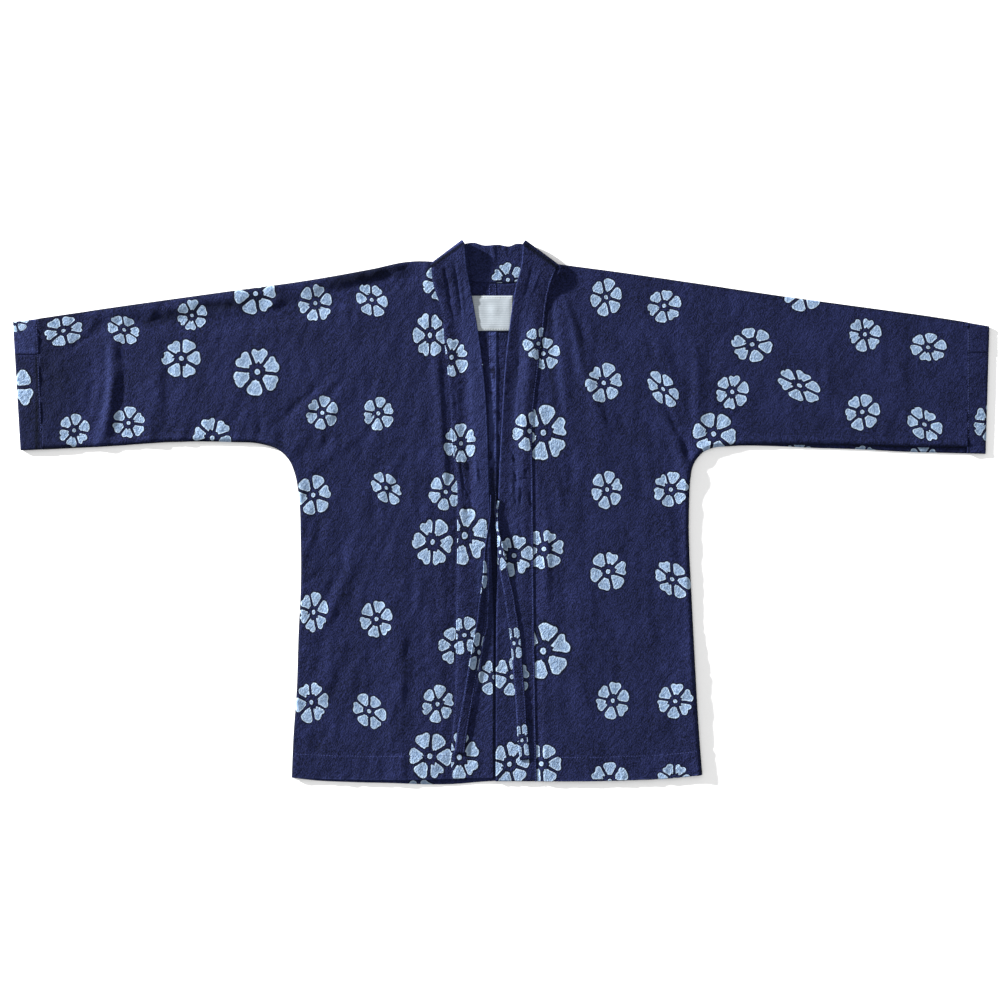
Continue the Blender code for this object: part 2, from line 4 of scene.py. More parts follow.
import functools
import math
import bpy
import bmesh
import numpy as np
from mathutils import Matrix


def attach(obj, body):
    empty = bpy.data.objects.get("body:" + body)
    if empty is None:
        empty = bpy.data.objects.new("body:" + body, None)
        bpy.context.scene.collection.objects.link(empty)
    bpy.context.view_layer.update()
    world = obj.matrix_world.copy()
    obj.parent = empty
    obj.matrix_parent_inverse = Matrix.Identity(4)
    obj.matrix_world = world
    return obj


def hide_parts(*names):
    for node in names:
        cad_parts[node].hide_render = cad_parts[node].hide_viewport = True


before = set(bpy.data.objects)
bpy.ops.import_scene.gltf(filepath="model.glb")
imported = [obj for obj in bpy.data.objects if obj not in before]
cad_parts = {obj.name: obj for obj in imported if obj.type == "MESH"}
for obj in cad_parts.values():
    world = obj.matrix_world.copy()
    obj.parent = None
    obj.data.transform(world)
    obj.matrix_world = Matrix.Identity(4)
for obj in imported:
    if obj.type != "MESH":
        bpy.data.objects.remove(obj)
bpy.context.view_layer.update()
print("frame loaded:", sorted(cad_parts))

mm = 0.001
# which way along X each side lies from the middle, as seen from the front
outward = {"left": -1, "right": 1}
scene = bpy.context.scene


# lines, patches and heights
def table(columns, *rows):
    values = np.array(rows, dtype=float)
    return {name: values[:, i] for i, name in enumerate(columns.split())}


def outline(*points):
    return table("x y", *points)


def ridges(*rows):
    # soft ridges, or troughs where the height is negative: both ends, how far the line bows sideways, half
    # the width, height, and the share of that height which is left at each end
    return table("x0 y0 x1 y1 bow half height start end", *rows)


def chart(*rows):
    # flowers: middle, half sizes along and across, how the long way leans and how the petals turn, in degrees
    return table("x y along across lean turn", *rows)


def softStep(t):
    t = np.clip(t, 0.0, 1.0)
    return t * t * (3.0 - 2.0 * t)


def bell(away, width, height=1.0):
    # a hump that is full in the middle and about a third as high one width away
    return height * np.exp(-(away / width) ** 2)


def unit(ways):
    return ways / np.linalg.norm(ways, axis=1)[:, None]


def leftOf(ways):
    return np.column_stack([-ways[:, 1], ways[:, 0]])


def smooth(knots, values, at):
    values = np.asarray(values, dtype=float)
    slopes = np.gradient(values, knots, axis=0)
    at = np.clip(at, knots[0], knots[-1])
    i = np.clip(np.searchsorted(knots, at, side="right") - 1, 0, len(knots) - 2)
    span = knots[i + 1] - knots[i]
    t = (at - knots[i]) / span
    if values.ndim == 2:
        span, t = span[:, None], t[:, None]
    return (values[i] * (1 + 2 * t) * (1 - t) ** 2 + slopes[i] * span * t * (1 - t) ** 2
            + values[i + 1] * t * t * (3 - 2 * t) + slopes[i + 1] * span * t * t * (t - 1))


def path(rows):
    points = np.column_stack([rows["x"], rows["y"]])
    walked = np.concatenate([[0.0], np.cumsum(np.linalg.norm(np.diff(points, axis=0), axis=1))])
    return lambda share: smooth(walked / walked[-1], points, np.atleast_1d(share))


def stretch(line, start, end):
    return lambda share: line(start + (end - start) * np.atleast_1d(share))


def straight(start, end):
    return lambda share: start + (end - start) * np.atleast_1d(share)[:, None]


def length(line):
    return np.linalg.norm(np.diff(line(np.linspace(0, 1, 60)), axis=0), axis=1).sum()


def shares(total, step, *close):
    # even steps along a length, with finer ones near some places: (place, reach, step)
    at = [0.0]
    while at[-1] < total:
        here = min([step] + [fine for place, reach, fine in close if abs(at[-1] + fine - place) < reach])
        at.append(at[-1] + here)
    return np.array(at) / at[-1]


def patch(bottom, top, left, right, u, v):
    b, t, l, r = bottom(u)[None], top(u)[None], left(v)[:, None], right(v)[:, None]
    u, v = u[None, :, None], v[:, None, None]
    corners = ((1 - u) * (1 - v) * b[:, :1] + u * (1 - v) * b[:, -1:]
               + (1 - u) * v * t[:, :1] + u * v * t[:, -1:])
    return (1 - v) * b + v * t + (1 - u) * l + u * r - corners


def distance(x, y, line, steps=120):
    knots = line(np.linspace(0, 1, steps))
    start, way = knots[:-1], np.diff(knots, axis=0)
    dx = x[:, None] - start[None, :, 0]
    dy = y[:, None] - start[None, :, 1]
    along = np.clip((dx * way[:, 0] + dy * way[:, 1]) / (way ** 2).sum(axis=1), 0, 1)
    return np.hypot(dx - along * way[:, 0], dy - along * way[:, 1]).min(axis=1)


def folded(x, y, rows):
    # height that a table of ridges and troughs adds at some points
    total = np.zeros_like(x)
    for x0, y0, x1, y1, bow, half, height, start, end in zip(*rows.values()):
        way = np.hypot(x1 - x0, y1 - y0)
        ux, uy = (x1 - x0) / way, (y1 - y0) / way
        along = ((x - x0) * ux + (y - y0) * uy) / way
        past = (along - np.clip(along, 0, 1)) * way
        along = np.clip(along, 0, 1)
        side = (y - y0) * ux - (x - x0) * uy - 4 * bow * along * (1 - along)
        near = np.clip(np.hypot(side, past) / half, 0, 1)
        ends = np.where(along < 0.5, start, end)
        fade = ends + (1 - ends) * (1 - np.abs(2 * along - 1) ** 2)
        total += height * fade * 0.5 * (1 + np.cos(np.pi * near))
    return total


def ripple(x, y, shortest, longest, seed, lean=None):
    # uneven small waves about 0, mostly from -1 to 1, between two wavelengths; lean turns most of them
    rng = np.random.default_rng(seed)
    total = np.zeros_like(x)
    count = 26
    for _ in range(count):
        wave = shortest * (longest / shortest) ** rng.random()
        angle = rng.random() * np.pi if lean is None else math.radians(lean) + rng.normal() * 0.35
        total += np.sin((x * math.cos(angle) + y * math.sin(angle)) * 2 * np.pi / wave + rng.random() * 7)
    return total / math.sqrt(count)


def ribs(along, spacing, width, seed):
    # narrow uneven ridges side by side, from 0 to about 1 high
    rng = np.random.default_rng(seed)
    count = int((along.max() - along.min()) / spacing) + 2
    places = along.min() + spacing * (np.arange(count) + rng.uniform(-0.4, 0.4, count))
    heights = rng.uniform(0.15, 1.0, count)
    widths = rng.uniform(0.7, 1.5, count) * width
    total = np.zeros_like(along)
    for place, tall, wide in zip(places, heights, widths):
        total += bell(along - place, wide, tall)
    return total


# sizes shared by the pieces
cloth = {
    "wall": 1.0,          # one layer, as the eye reads it
    "frontZ": 2.1,        # middle of a front where it lies flat on the back
    "backZ": 0.56,        # middle of a back panel on the floor
    "loft": 1.3,          # how far a front stands above its own seamed edge
    # width of the rounded margin along creased edges and along seams with turnings inside
    "roll": (2.2, 5.0),
    "seamEase": {"left": 22.0, "right": 13.0},    # width over which a front rises to its collar seam
    "centreBack": -6.3,
    "sleeveEnd": 650.0,   # X where the sleeves meet their cuffs, about
    "seamEnds": (-343.0, 375.0),      # minus Y at the upper and lower end of the collar seam
    "topstitch": 2.0,     # how far a row of stitches runs from its seam or folded edge
    "step": 3.0,          # mesh step of the fronts
    "backStep": 6.0,
    # where the meshes are divided: share of the sleeve's top, of the underarm line and of the collar seam
    "split": {"left": (0.62, 0.435, 0.60), "right": (0.66, 0.475, 0.60)},
    # how far the seam edge runs under the band: low down, more near the shoulder, from which Y, how soon
    "tuck": (1.2, 6.0, 318.0, 25.0),
    # small waves that washed cotton keeps: depth, and by how many degrees most of them lean
    "restless": {"left": (0.42, -12), "right": (0.28, 8)},
    # turnings inside thicken the cloth along side and sleeve seams: distance from the edge, width, height
    "bead": (5.0, 5.0, 0.9),
    # on the left it begins at this distance from the middle, over this length
    "beadStart": (290.0, 30.0),
    # how far the stiff sleeve ends stand up, and from which X on
    "sleeveLift": {"left": (1.5, 585.0), "right": (0.3, 600.0)},
    # extra height of each side edge, by Y, how far in it reaches, and where it ends: X, how soon, and Y
    "sideLift": {"left": ((-380, 0.3), (-120, 0.5), (-60, 1.5), (-10, 1.2), (60, 0.3), (100, 0.3)),
                 "right": ((-380, 1.6), (-250, 1.5), (-150, 0.4), (20, 0.5), (60, 3.2), (100, 1.2))},
    "sideReach": 16.0,
    "sideEnd": (330.0, 30.0, 150.0),
    # short puckers beside seams: height, shortest and longest wave, seed, and how far they reach
    "puckers": {"cuff": (0.35, 9, 26, 31, 9.0), "side": (0.18, 12, 34, 32, 14.0),
                "collar": (0.16, 10, 26, 33, 10.0)},
    "dip": (2.2, 0.4),    # width and depth of the dip beside the collar seam
    # how hard each seam gathers the cloth beside it, and how far away that is felt
    "gather": {"hem": (0.55, 8.0), "cuff": (0.6, 9.0), "collar": (0.6, 10.0), "edge": (0.35, 8.0)},
    # rubbed pale along the hem, and painted shade along the other folded edges: width, and how much paler or
    # darker
    "wearAndPaintedLight": {"hem": (2.0, 0.6), "edge": (1.9, -1.1)},
    # painted shade on the left sleeve's end: from which X, over which length, how much darker
    "paintedShadeLeftEnd": (575.0, 55.0, 0.38),
}

hemming = {
    "depth": 36.0,
    "line": 34.0,         # where the stitches pull the cloth in
    "drawn": 33.5,        # where they are drawn
    "thick": 0.45,        # what the turned-up cloth adds
    "groove": (1.5, 0.36),            # width and depth along the stitches
    "ribs": (0.55, 13.0, 3.2, 21),    # uneven puckers: height, spacing, width, seed
}

sleeveTop = {
    "left": outline(
        (-648.5, 270.4), (-544.9, 285.8), (-404.9, 305.4), (-264.9, 325.0), (-180.9, 340.4),
        (-124.9, 350.9), (-103.0, 350.2)),
    "right": outline(
        (652.8, 265.4), (603.0, 273.2), (491.0, 288.6), (379.0, 304.0), (267.1, 320.8), (183.0, 333.4),
        (99.0, 344.6), (83.0, 346.6)),
}
underarm = {
    "left": outline(
        (-641.5, 87.8), (-544.9, 92.6), (-460.9, 98.2), (-376.9, 98.2), (-334.9, 95.4), (-311.1, 87.0),
        (-295.8, 71.6), (-288.8, 54.8), (-283.1, 24.0), (-280.3, -39.0), (-280.3, -109.0), (-283.1, -165.0),
        (-285.9, -249.0), (-290.8, -319.0), (-292.9, -371.5)),
    "right": outline(
        (652.8, 82.2), (575.0, 84.2), (491.0, 88.4), (435.0, 90.1), (379.0, 92.6), (323.0, 92.6),
        (295.0, 89.8), (282.4, 84.2), (274.0, 75.8), (267.8, 64.6), (264.2, 45.0), (262.8, 17.0),
        (262.1, -18.0), (262.8, -53.0), (265.6, -109.0), (269.8, -193.0), (274.0, -270.0), (278.2, -333.0),
        (281.0, -367.6)),
}
# the right sleeve is rolled: its underarm seam shows on the front, with a strip of the back below it
seamRoll = {
    "left": table("x inset", (-641.5, 0.0), (-300.0, 0.0)),
    "right": table("x inset",
        (330.0, 0.0), (379.0, 1.8), (435.0, 4.0), (491.0, 5.2), (575.0, 6.8), (652.8, 8.0)),
}
frontHem = {
    "left": outline((-292.9, -371.5), (-239.7, -373.9), (-141.8, -375.0), (-69.0, -373.6)),
    "right": outline((281.0, -367.6), (239.0, -372.2), (183.0, -375.0), (127.0, -376.4), (50.0, -376.6)),
}
backHem = outline(
    (-292.9, -371.5), (-264.9, -375.0), (-208.9, -377.8), (-152.9, -379.2), (-96.9, -380.9),
    (-68.9, -380.6), (-25.5, -377.1), (15.0, -375.0), (138.2, -374.6), (239.0, -370.8), (281.0, -367.6))
frontSeam = {
    "left": outline(
        (-69.9, -373.6), (-69.2, -319.0), (-65.3, -263.0), (-62.7, -123.0), (-61.5, -11.0), (-62.2, 45.0),
        (-68.3, 94.0), (-70.7, 150.0), (-75.2, 199.0), (-80.1, 245.2), (-82.9, 280.2), (-88.1, 297.0),
        (-95.5, 319.4), (-100.6, 337.0), (-103.0, 350.2)),
    "right": outline(
        (50.0, -376.6), (45.8, -123.0), (44.4, 45.0), (43.8, 101.0), (44.4, 129.0), (48.6, 171.0),
        (52.8, 204.6), (55.6, 234.0), (59.1, 255.0), (61.8, 280.9), (64.2, 298.4), (71.2, 322.0),
        (80.6, 336.0), (83.0, 346.6)),
}
neckLine = outline(
    (-103.0, 350.2), (-100.6, 341.0), (-88.0, 334.0), (-71.8, 329.4), (-36.8, 322.2), (-5.9, 320.4),
    (24.8, 322.0), (55.0, 329.0), (74.6, 335.8), (83.0, 346.6))

# largest folds of the fronts, which the solids have too, then the finer creases of the real cloth
folds = {
    "left": ridges(
        (-560.0, 276.0, -118.0, 346.0, -3.0, 17.0, 2.6, 0.5, 0.9),
        (-575.0, 262.0, -112.0, 334.0, -26.0, 20.0, -1.8, 0.0, 0.9),
        (-545.0, 243.8, -562.0, 92.0, 9.0, 12.5, 2.2, 0.2, 0.8),
        (-484.0, 204.0, -490.0, 96.0, 4.0, 22.0, 1.5, 0.0, 0.8),
        (-297.0, 84.0, -206.0, 192.0, -8.0, 17.0, 1.6, 0.3, 0.0),
        (-262.0, 60.0, -190.0, 110.0, 6.0, 15.0, 1.3, 0.3, 0.0),
        (-92.0, 262.0, -84.0, 36.0, 6.0, 14.0, 3.0, 0.0, 0.0),
        (-282.0, -190.0, -196.0, -36.0, -10.0, 21.0, 1.5, 0.2, 0.0),
        (-276.0, -290.0, -226.0, -160.0, -8.0, 22.0, 1.3, 0.2, 0.0),
        (-138.0, -60.0, -142.0, -370.0, -6.0, 24.0, 1.5, 0.0, 0.7)),
    "right": ridges(
        (82.0, 292.0, 141.0, 38.0, 14.0, 18.0, 1.6, 0.4, 0.0),
        (183.0, 312.0, 256.0, 76.0, 14.0, 19.0, 1.5, 0.0, 0.4),
        (240.0, 170.0, 262.0, 58.0, 5.0, 9.0, -1.3, 0.0, 0.4),
        (276.0, 244.0, 276.0, 104.0, 3.0, 15.0, 1.1, 0.0, 0.6),
        (63.0, 60.0, 64.0, -152.0, 1.0, 10.0, 1.9, 0.0, 0.0),
        (198.0, 66.0, 250.0, -120.0, 8.0, 22.0, 1.4, 0.0, 0.0),
        (112.0, -70.0, 122.0, -340.0, -4.0, 24.0, 1.2, 0.0, 0.4),
        (232.0, -190.0, 262.0, -340.0, 6.0, 20.0, 1.3, 0.0, 0.4)),
}
creases = {
    "left": ridges(
        (-549.1, 227.0, -553.3, 122.0, 6, 8, 1.0, 0, 0.6),
        (-574.5, 232.0, -580.0, 130.0, 5, 9, -0.9, 0.2, 0),
        (-530.0, 230.0, -536.0, 145.0, 5, 9, -0.8, 0, 0),
        (-463.7, 213.0, -469.3, 112.2, 0, 14, -0.6, 0, 0.4),
        (-617.8, 220.0, -547.8, 271.8, -4, 10, -1.2, 0, 0),
        (-519.8, 260.6, -421.8, 271.8, 0, 9, -1.0, 0, 0), (-491.7, 280.2, -435.8, 285.8, 0, 9, 1.0, 0, 0),
        (-347.5, 269.0, -284.5, 283.0, 0, 7, -1.1, 0, 0), (-334.9, 284.4, -281.8, 306.8, 2, 10, 1.2, 0, 0),
        (-421.8, 288.6, -371.3, 288.6, 0, 7, -1.0, 0, 0),
        (-242.5, 306.8, -113.7, 350.2, -4, 12, -2.0, 0, 0.9),
        (-116.5, 340.4, -150.1, 309.6, 1, 5, 0.8, 0.6, 0),
        (-113.7, 332.0, -136.1, 295.6, 2, 5, 0.8, 0.6, 0),
        (-123.5, 344.6, -172.5, 313.8, 0, 5, 0.7, 0.6, 0),
        (-110.9, 325.0, -120.7, 288.6, 1, 4.5, 0.6, 0.5, 0),
        (-119.3, 337.6, -152.9, 297.0, 1, 5, -0.7, 0.5, 0), (-204.2, 288.6, -201.9, 249.4, 2, 7, 0.9, 0, 0),
        (-141.8, 299.8, -178.1, 182.2, 4, 11, 0.5, 0, 0), (-126.3, 283.0, -144.5, 129.0, 4, 10, 0.45, 0, 0),
        (-239.7, 180.8, -322.3, 110.8, -6, 9, -1.4, 0, 0.4),
        (-208.9, 201.8, -295.8, 113.6, -7, 12, 1.3, 0, 0.6),
        (-354.5, 159.8, -368.5, 99.6, 2, 8, 0.9, 0, 0.5), (-334.9, 138.8, -340.5, 98.2, 1, 8, -1.0, 0, 0.6),
        (-361.5, 120.6, -365.8, 96.8, 0, 5, -0.8, 0, 0.6), (-313.9, 123.4, -323.8, 99.6, 0, 6, 0.8, 0, 0.5),
        (-235.5, 115.0, -269.1, 82.8, -3, 9, 0.9, 0, 0), (-273.3, 91.2, -281.8, 50.6, 3, 11, -0.2, 0.3, 0),
        (-185.1, 36.6, -201.9, -13.8, 3, 9, 1.0, 0, 0), (-84.0, 250.0, -75.0, 56.0, 0, 6, -0.6, 0, 0),
        (-98.3, 227.0, -88.5, 123.4, 3, 8, 0.7, 0, 0), (-80.1, 101.0, -81.5, 28.2, 2, 7, 0.8, 0, 0),
        (-148.8, 101.0, -169.8, 17.0, 4, 12, 0.5, 0, 0), (-225.7, 59.0, -253.7, -67.0, 6, 14, 0.6, 0, 0),
        (-211.8, -67.0, -250.9, -151.0, -5, 13, -0.9, 0, 0),
        (-113.7, -67.0, -119.3, -151.0, 2, 10, 0.6, 0, 0),
        (-138.9, -137.0, -141.8, -330.2, 2, 7, 0.7, 0, 0.5),
        (-108.1, -123.0, -112.3, -263.0, 2, 8, -0.5, 0, 0),
        (-239.7, -207.0, -250.9, -319.0, 3, 13, 0.5, 0, 0),
        (-197.8, -179.0, -211.8, -312.0, -3, 13, 0.5, 0, 0),
        (-155.8, -337.9, -129.2, -336.5, 0, 4, -0.8, 0, 0),
        (-281.8, -67.0, -256.6, -11.0, -2, 9, 0.6, 0.4, 0),
        (-287.3, -109.0, -239.7, -81.0, 2, 9, -0.6, 0.4, 0),
        (-281.8, -223.8, -239.7, -193.0, 3, 12, 0.6, 0.4, 0)),
    "right": ridges(
        (85.0, 278.0, 96.0, 120.0, -2, 13, 1.1, 0.5, 0), (70.0, 300.0, 84.0, 130.0, -2, 8, -0.6, 0.8, 0),
        (89.2, 297.0, 112.0, 194.8, 4, 8, 0.7, 0.6, 0), (121.4, 180.8, 155.0, 78.6, 4, 11, 1.0, 0, 0),
        (76.6, 290.0, 77.5, 246.0, 0, 6, 0.5, 0.6, 0), (188.6, 257.8, 208.2, 199.0, 3, 9, 0.8, 0, 0),
        (215.2, 154.2, 248.8, 82.8, 3, 12, 1.2, 0, 0), (237.6, 103.8, 262.8, 47.8, 0, 10, 1.0, 0, 0),
        (222.2, 159.8, 265.6, 70.2, 3, 8, -1.7, 0, 0.7), (269.1, 243.8, 271.9, 138.8, 2, 9, 1.2, 0, 0.4),
        (290.8, 236.8, 286.6, 154.2, 0, 12, -0.7, 0, 0), (155.0, 151.4, 177.4, 103.8, 2, 11, -0.9, 0, 0),
        (176.0, 109.4, 206.8, 3.0, 4, 13, -0.9, 0, 0), (52.1, 71.6, 54.2, -12.4, 0, 6, 0.9, 0, 0),
        (76.6, 59.0, 84.3, -12.4, 2, 8, 1.0, 0, 0), (64.0, 50.6, 66.8, -12.4, 0, 6, -0.9, 0, 0),
        (89.2, 109.4, 99.0, 15.6, 2, 10, -1.2, 0, 0), (121.4, 92.6, 195.6, 14.2, -5, 11, 0.9, 0, 0),
        (199.8, 33.8, 230.6, -27.8, 3, 12, -0.8, 0, 0), (229.2, -25.0, 253.0, -69.8, 2, 11, -0.8, 0, 0),
        (260.1, 19.8, 262.8, -69.8, 2, 10, 0.9, 0, 0.3), (177.4, -346.3, 223.6, -340.0, 0, 5, -0.8, 0, 0),
        (251.6, -158.0, 269.8, -155.9, 0, 4.5, -0.8, 0, 0.6),
        (251.6, -212.6, 271.2, -215.4, 0, 4.5, -0.8, 0, 0.6),
        (260.1, -314.8, 278.2, -321.8, 0, 4.5, -0.9, 0, 0.6),
        (208.2, -320.4, 267.1, -205.6, -3, 22, 1.1, 0, 0.4), (104.6, 283.0, 121.4, 224.2, 2, 9, -0.4, 0, 0),
        (149.4, 255.0, 169.0, 185.0, 3, 11, 0.5, 0, 0), (194.2, 196.2, 211.0, 157.0, 2, 9, -0.6, 0, 0),
        (82.2, -39.0, 90.6, -151.0, 3, 12, -0.6, 0, 0), (117.2, -67.0, 127.0, -207.0, 4, 14, 0.5, 0, 0),
        (152.2, -137.0, 166.2, -249.0, 3, 14, -0.5, 0, 0), (194.2, -109.0, 215.2, -207.0, 4, 14, 0.5, 0, 0),
        (76.6, -179.0, 82.2, -319.0, 2, 12, 0.5, 0, 0.3), (362.2, 213.0, 337.0, 129.0, 4, 16, 0.5, 0, 0),
        (306.2, 227.0, 300.6, 178.0, 2, 10, 0.4, 0, 0), (460.2, 255.0, 449.0, 129.0, 5, 20, 0.5, 0, 0),
        (558.2, 255.0, 548.4, 122.0, 5, 20, 0.45, 0, 0)),
}

# painted light along some folds: a painted highlight where the height is positive, painted shade where it is
# negative
paintedFoldLight = {
    "left": ridges(
        (-553.0, 252.0, -568.0, 92.0, 9.0, 9.5, 0.5, 0.4, 0.8),
        (-500.0, 266.0, -290.0, 300.0, 4.0, 15.0, -0.7, 0.5, 0.3),
        (-236.0, 322.0, -140.0, 341.0, 0.0, 15.0, -0.8, 0.6, 0.6)),
    "right": ridges(
        (62.5, 296.0, 79.0, 120.0, -2.0, 6.0, -0.6, 0.7, 0.3),
        (76.0, 288.0, 88.0, 130.0, -2.0, 8.0, 0.45, 0.7, 0.2),
        (88.0, 294.0, 114.0, 176.0, 0.0, 6.0, 0.35, 0.6, 0.2),
        (98.0, 294.0, 124.0, 176.0, 0.0, 7.0, -0.35, 0.4, 0.2)),
}

printing = {
    "reach": 1.9,         # a face belongs to the nearest flower within this many of its half sizes
    "blank": 9.0,         # the place in a flower of faces that belong to none
}
# the flowers of each piece's print
flowers = {
    "frontLeft": chart(
        (-612.1, 253.6, 27.7, 20.2, 15, 0), (-527.4, 255.0, 24.6, 18.8, -36, -24),
        (-432.9, 275.3, 21.8, 21.8, 0, 24), (-343.3, 305.4, 29.4, 28.0, 0, 9),
        (-447.5, 215.0, 28.0, 28.0, 0, 0), (-341.1, 196.2, 33.6, 35.0, 0, 22),
        (-597.4, 114.2, 21.7, 23.8, 0, 20), (-521.1, 124.8, 23.8, 22.4, 0, 23),
        (-404.0, 103.8, 28.0, 28.0, 0, -14), (-260.1, 292.1, 23.8, 26.6, 0, 16),
        (-181.2, 297.0, 25.2, 20.6, -51, -10), (-250.2, 138.8, 22.4, 23.8, 0, 21),
        (-171.8, 138.1, 22.4, 23.8, 0, 22), (-99.8, 247.3, 23.8, 32.2, 0, -1),
        (-83.0, 320.8, 26.6, 26.6, 0, 16), (-56.3, 97.0, 24.5, 27.0, 0, 24),
        (-263.0, 24.0, 25.2, 27.4, 0, 12), (-160.6, 33.8, 26.0, 18.2, -50, -10),
        (-77.6, 28.2, 23.8, 26.6, 0, 21), (-96.0, -41.8, 28.0, 34.3, 0, -4),
        (-262.4, -139.8, 20.3, 28.0, 0, 16), (-174.5, -149.6, 23.4, 26.6, 0, 17),
        (-63.3, -187.4, 25.2, 26.6, 0, -4), (-265.5, -265.8, 23.4, 29.4, 0, 8),
        (-184.7, -278.4, 26.9, 21.6, -55, -13), (-89.0, -268.6, 23.2, 26.6, 0, 19),
        (-99.8, -341.4, 29.4, 33.6, 0, -3)),
    "cuffLeft": chart(
        (-689.1, 173.8, 35.0, 35.0, 0, -26), (-679.3, 266.2, 18.2, 15.4, 0, 16)),
    "bandLeft": chart(
        (-69.4, 216.5, 23.8, 28.0, 0, 26), (-56.3, 96.1, 22.4, 27.4, 0, 31),
        (-51.2, -33.0, 33.6, 40.6, 0, 19), (-51.6, -172.0, 25.2, 26.6, 0, 7),
        (-58.5, -342.8, 29.4, 33.6, 0, 26), (-10.1, -230.8, 22.4, 25.2, 0, 2)),
    "bandBack": chart(
        (9.4, 325.0, 23.8, 23.8, 0, -21)),
    "bandRight": chart(
        (52.0, 235.8, 22.4, 23.1, 0, 7), (39.5, 113.6, 25.2, 28.0, 0, 11), (17.8, -60.7, 28.0, 29.4, 0, 10),
        (15.0, -230.2, 25.2, 28.0, 0, 19), (11.5, -352.6, 28.0, 32.2, 0, 15)),
    "frontRight": chart(
        (59.1, 221.8, 23.8, 23.8, 0, 11), (59.1, 111.1, 33.6, 39.2, 0, 18), (59.8, -51.6, 28.0, 28.0, 0, 9),
        (58.4, -194.4, 37.8, 39.2, 0, 18), (56.3, -352.0, 28.0, 28.0, 0, 1),
        (146.6, 300.6, 22.4, 25.9, 0, 15), (227.8, 288.6, 23.8, 23.8, 0, 16),
        (143.3, 180.8, 25.9, 27.3, 0, 11), (226.4, 172.4, 28.0, 17.1, -52, -15),
        (351.0, 234.8, 29.0, 24.6, 0, -14), (323.0, 168.2, 23.8, 25.2, 0, 17),
        (297.0, 109.4, 30.8, 30.8, 0, -9), (416.8, 177.2, 33.6, 19.9, -30, -23),
        (422.4, 305.4, 28.0, 23.8, 0, 13), (508.5, 248.7, 23.1, 23.8, 0, 14),
        (597.0, 230.5, 25.6, 20.7, -8, 23), (505.0, 140.2, 25.2, 25.9, 0, 11),
        (591.8, 122.7, 28.0, 20.4, -42, -23), (148.0, 31.7, 22.4, 26.6, 0, 19),
        (237.2, 31.7, 25.2, 25.2, 0, 18), (149.4, -82.9, 25.9, 28.8, 0, 13),
        (239.0, -93.6, 29.4, 20.7, -46, -20), (156.0, -263.6, 24.1, 26.6, 0, 19),
        (243.2, -264.1, 25.2, 25.2, 0, 22), (151.8, -376.4, 26.6, 28.0, 0, 29),
        (241.8, -373.6, 23.8, 23.8, 0, -2)),
    "cuffRight": chart(
        (684.2, 125.5, 23.8, 26.6, 0, 24)),
    "tieLeft": chart(
        (-31.0, -87.0, 12.0, 28.0, 0, 30), (-31.1, -195.8, 18.2, 28.0, 0, -14)),
    "tieRight": chart(
        (-5.9, -4.0, 9.8, 25.2, 0, 28), (-1.8, -55.8, 14.0, 25.2, 0, -8), (17.8, -183.2, 18.2, 23.8, 0, 7),
        (29.0, -319.0, 18.2, 23.8, 0, 7)),
    "backLeft": chart(
        (-610, 236, 24, 24, 0, 12), (-598, 150, 22, 24, 0, 20), (-520, 262, 26, 20, -36, 5),
        (-498, 172, 28, 28, 0, 8), (-430, 124, 22, 22, 0, 22), (-402, 240, 32, 32, 0, 15),
        (-318, 170, 24, 26, 0, 0), (-300, 284, 22, 22, 0, 20), (-222, 120, 26, 19, -50, 10),
        (-218, 240, 24, 26, 0, 18), (-140, 296, 22, 22, 0, 5), (-134, 180, 22, 24, 0, 20),
        (-60, 236, 24, 28, 0, 12), (-240, 20, 24, 26, 0, 10), (-150, 52, 22, 24, 0, 22),
        (-70, 92, 28, 28, 0, 4), (-236, -92, 28, 32, 0, 16), (-148, -62, 24, 20, -50, 0),
        (-64, -36, 22, 24, 0, 20), (-232, -206, 22, 26, 0, 12), (-140, -176, 24, 24, 0, 20),
        (-60, -150, 28, 30, 0, 8), (-240, -312, 28, 28, 0, 0), (-148, -286, 22, 24, 0, 16),
        (-66, -262, 26, 22, -40, 6), (-113.7, -398.8, 28, 25.2, 0, 5), (-196, -345, 22, 22, 0, 10)),
    "backRight": chart(
        (612, 236, 24, 22, 0, 8), (604, 146, 24, 24, 0, 18), (526, 250, 22, 22, 0, 22),
        (500, 160, 28, 22, -30, 6), (420, 256, 26, 26, 0, 12), (410, 150, 24, 26, 0, 2),
        (330, 200, 30, 30, 0, 18), (250, 290, 22, 24, 0, 8), (244, 180, 26, 18, -48, 4),
        (150, 306, 22, 22, 0, 20), (146, 206, 26, 28, 0, 12), (60, 250, 24, 24, 0, 2),
        (60, 140, 30, 32, 0, 16), (238, 70, 24, 24, 0, 20), (146, 90, 22, 26, 0, 8),
        (234, -40, 26, 26, 0, 14), (142, -24, 24, 20, -46, 0), (50, 28, 24, 28, 0, 22),
        (240, -150, 22, 24, 0, 6), (150, -130, 28, 30, 0, 18), (52, -92, 22, 22, 0, 10),
        (238, -262, 26, 20, -50, 0), (150, -240, 22, 24, 0, 14), (56, -212, 30, 30, 0, 20),
        (236, -345, 24, 24, 0, 4), (146, -325, 26, 28, 0, 16), (58, -324, 22, 24, 0, 8),
        (416.8, 78.6, 22.4, 19.6, 0, 28), (507.3, 77.2, 22.4, 16.8, 0, -15),
        (590.4, 77.2, 23.8, 16.8, 0, 27)),
}

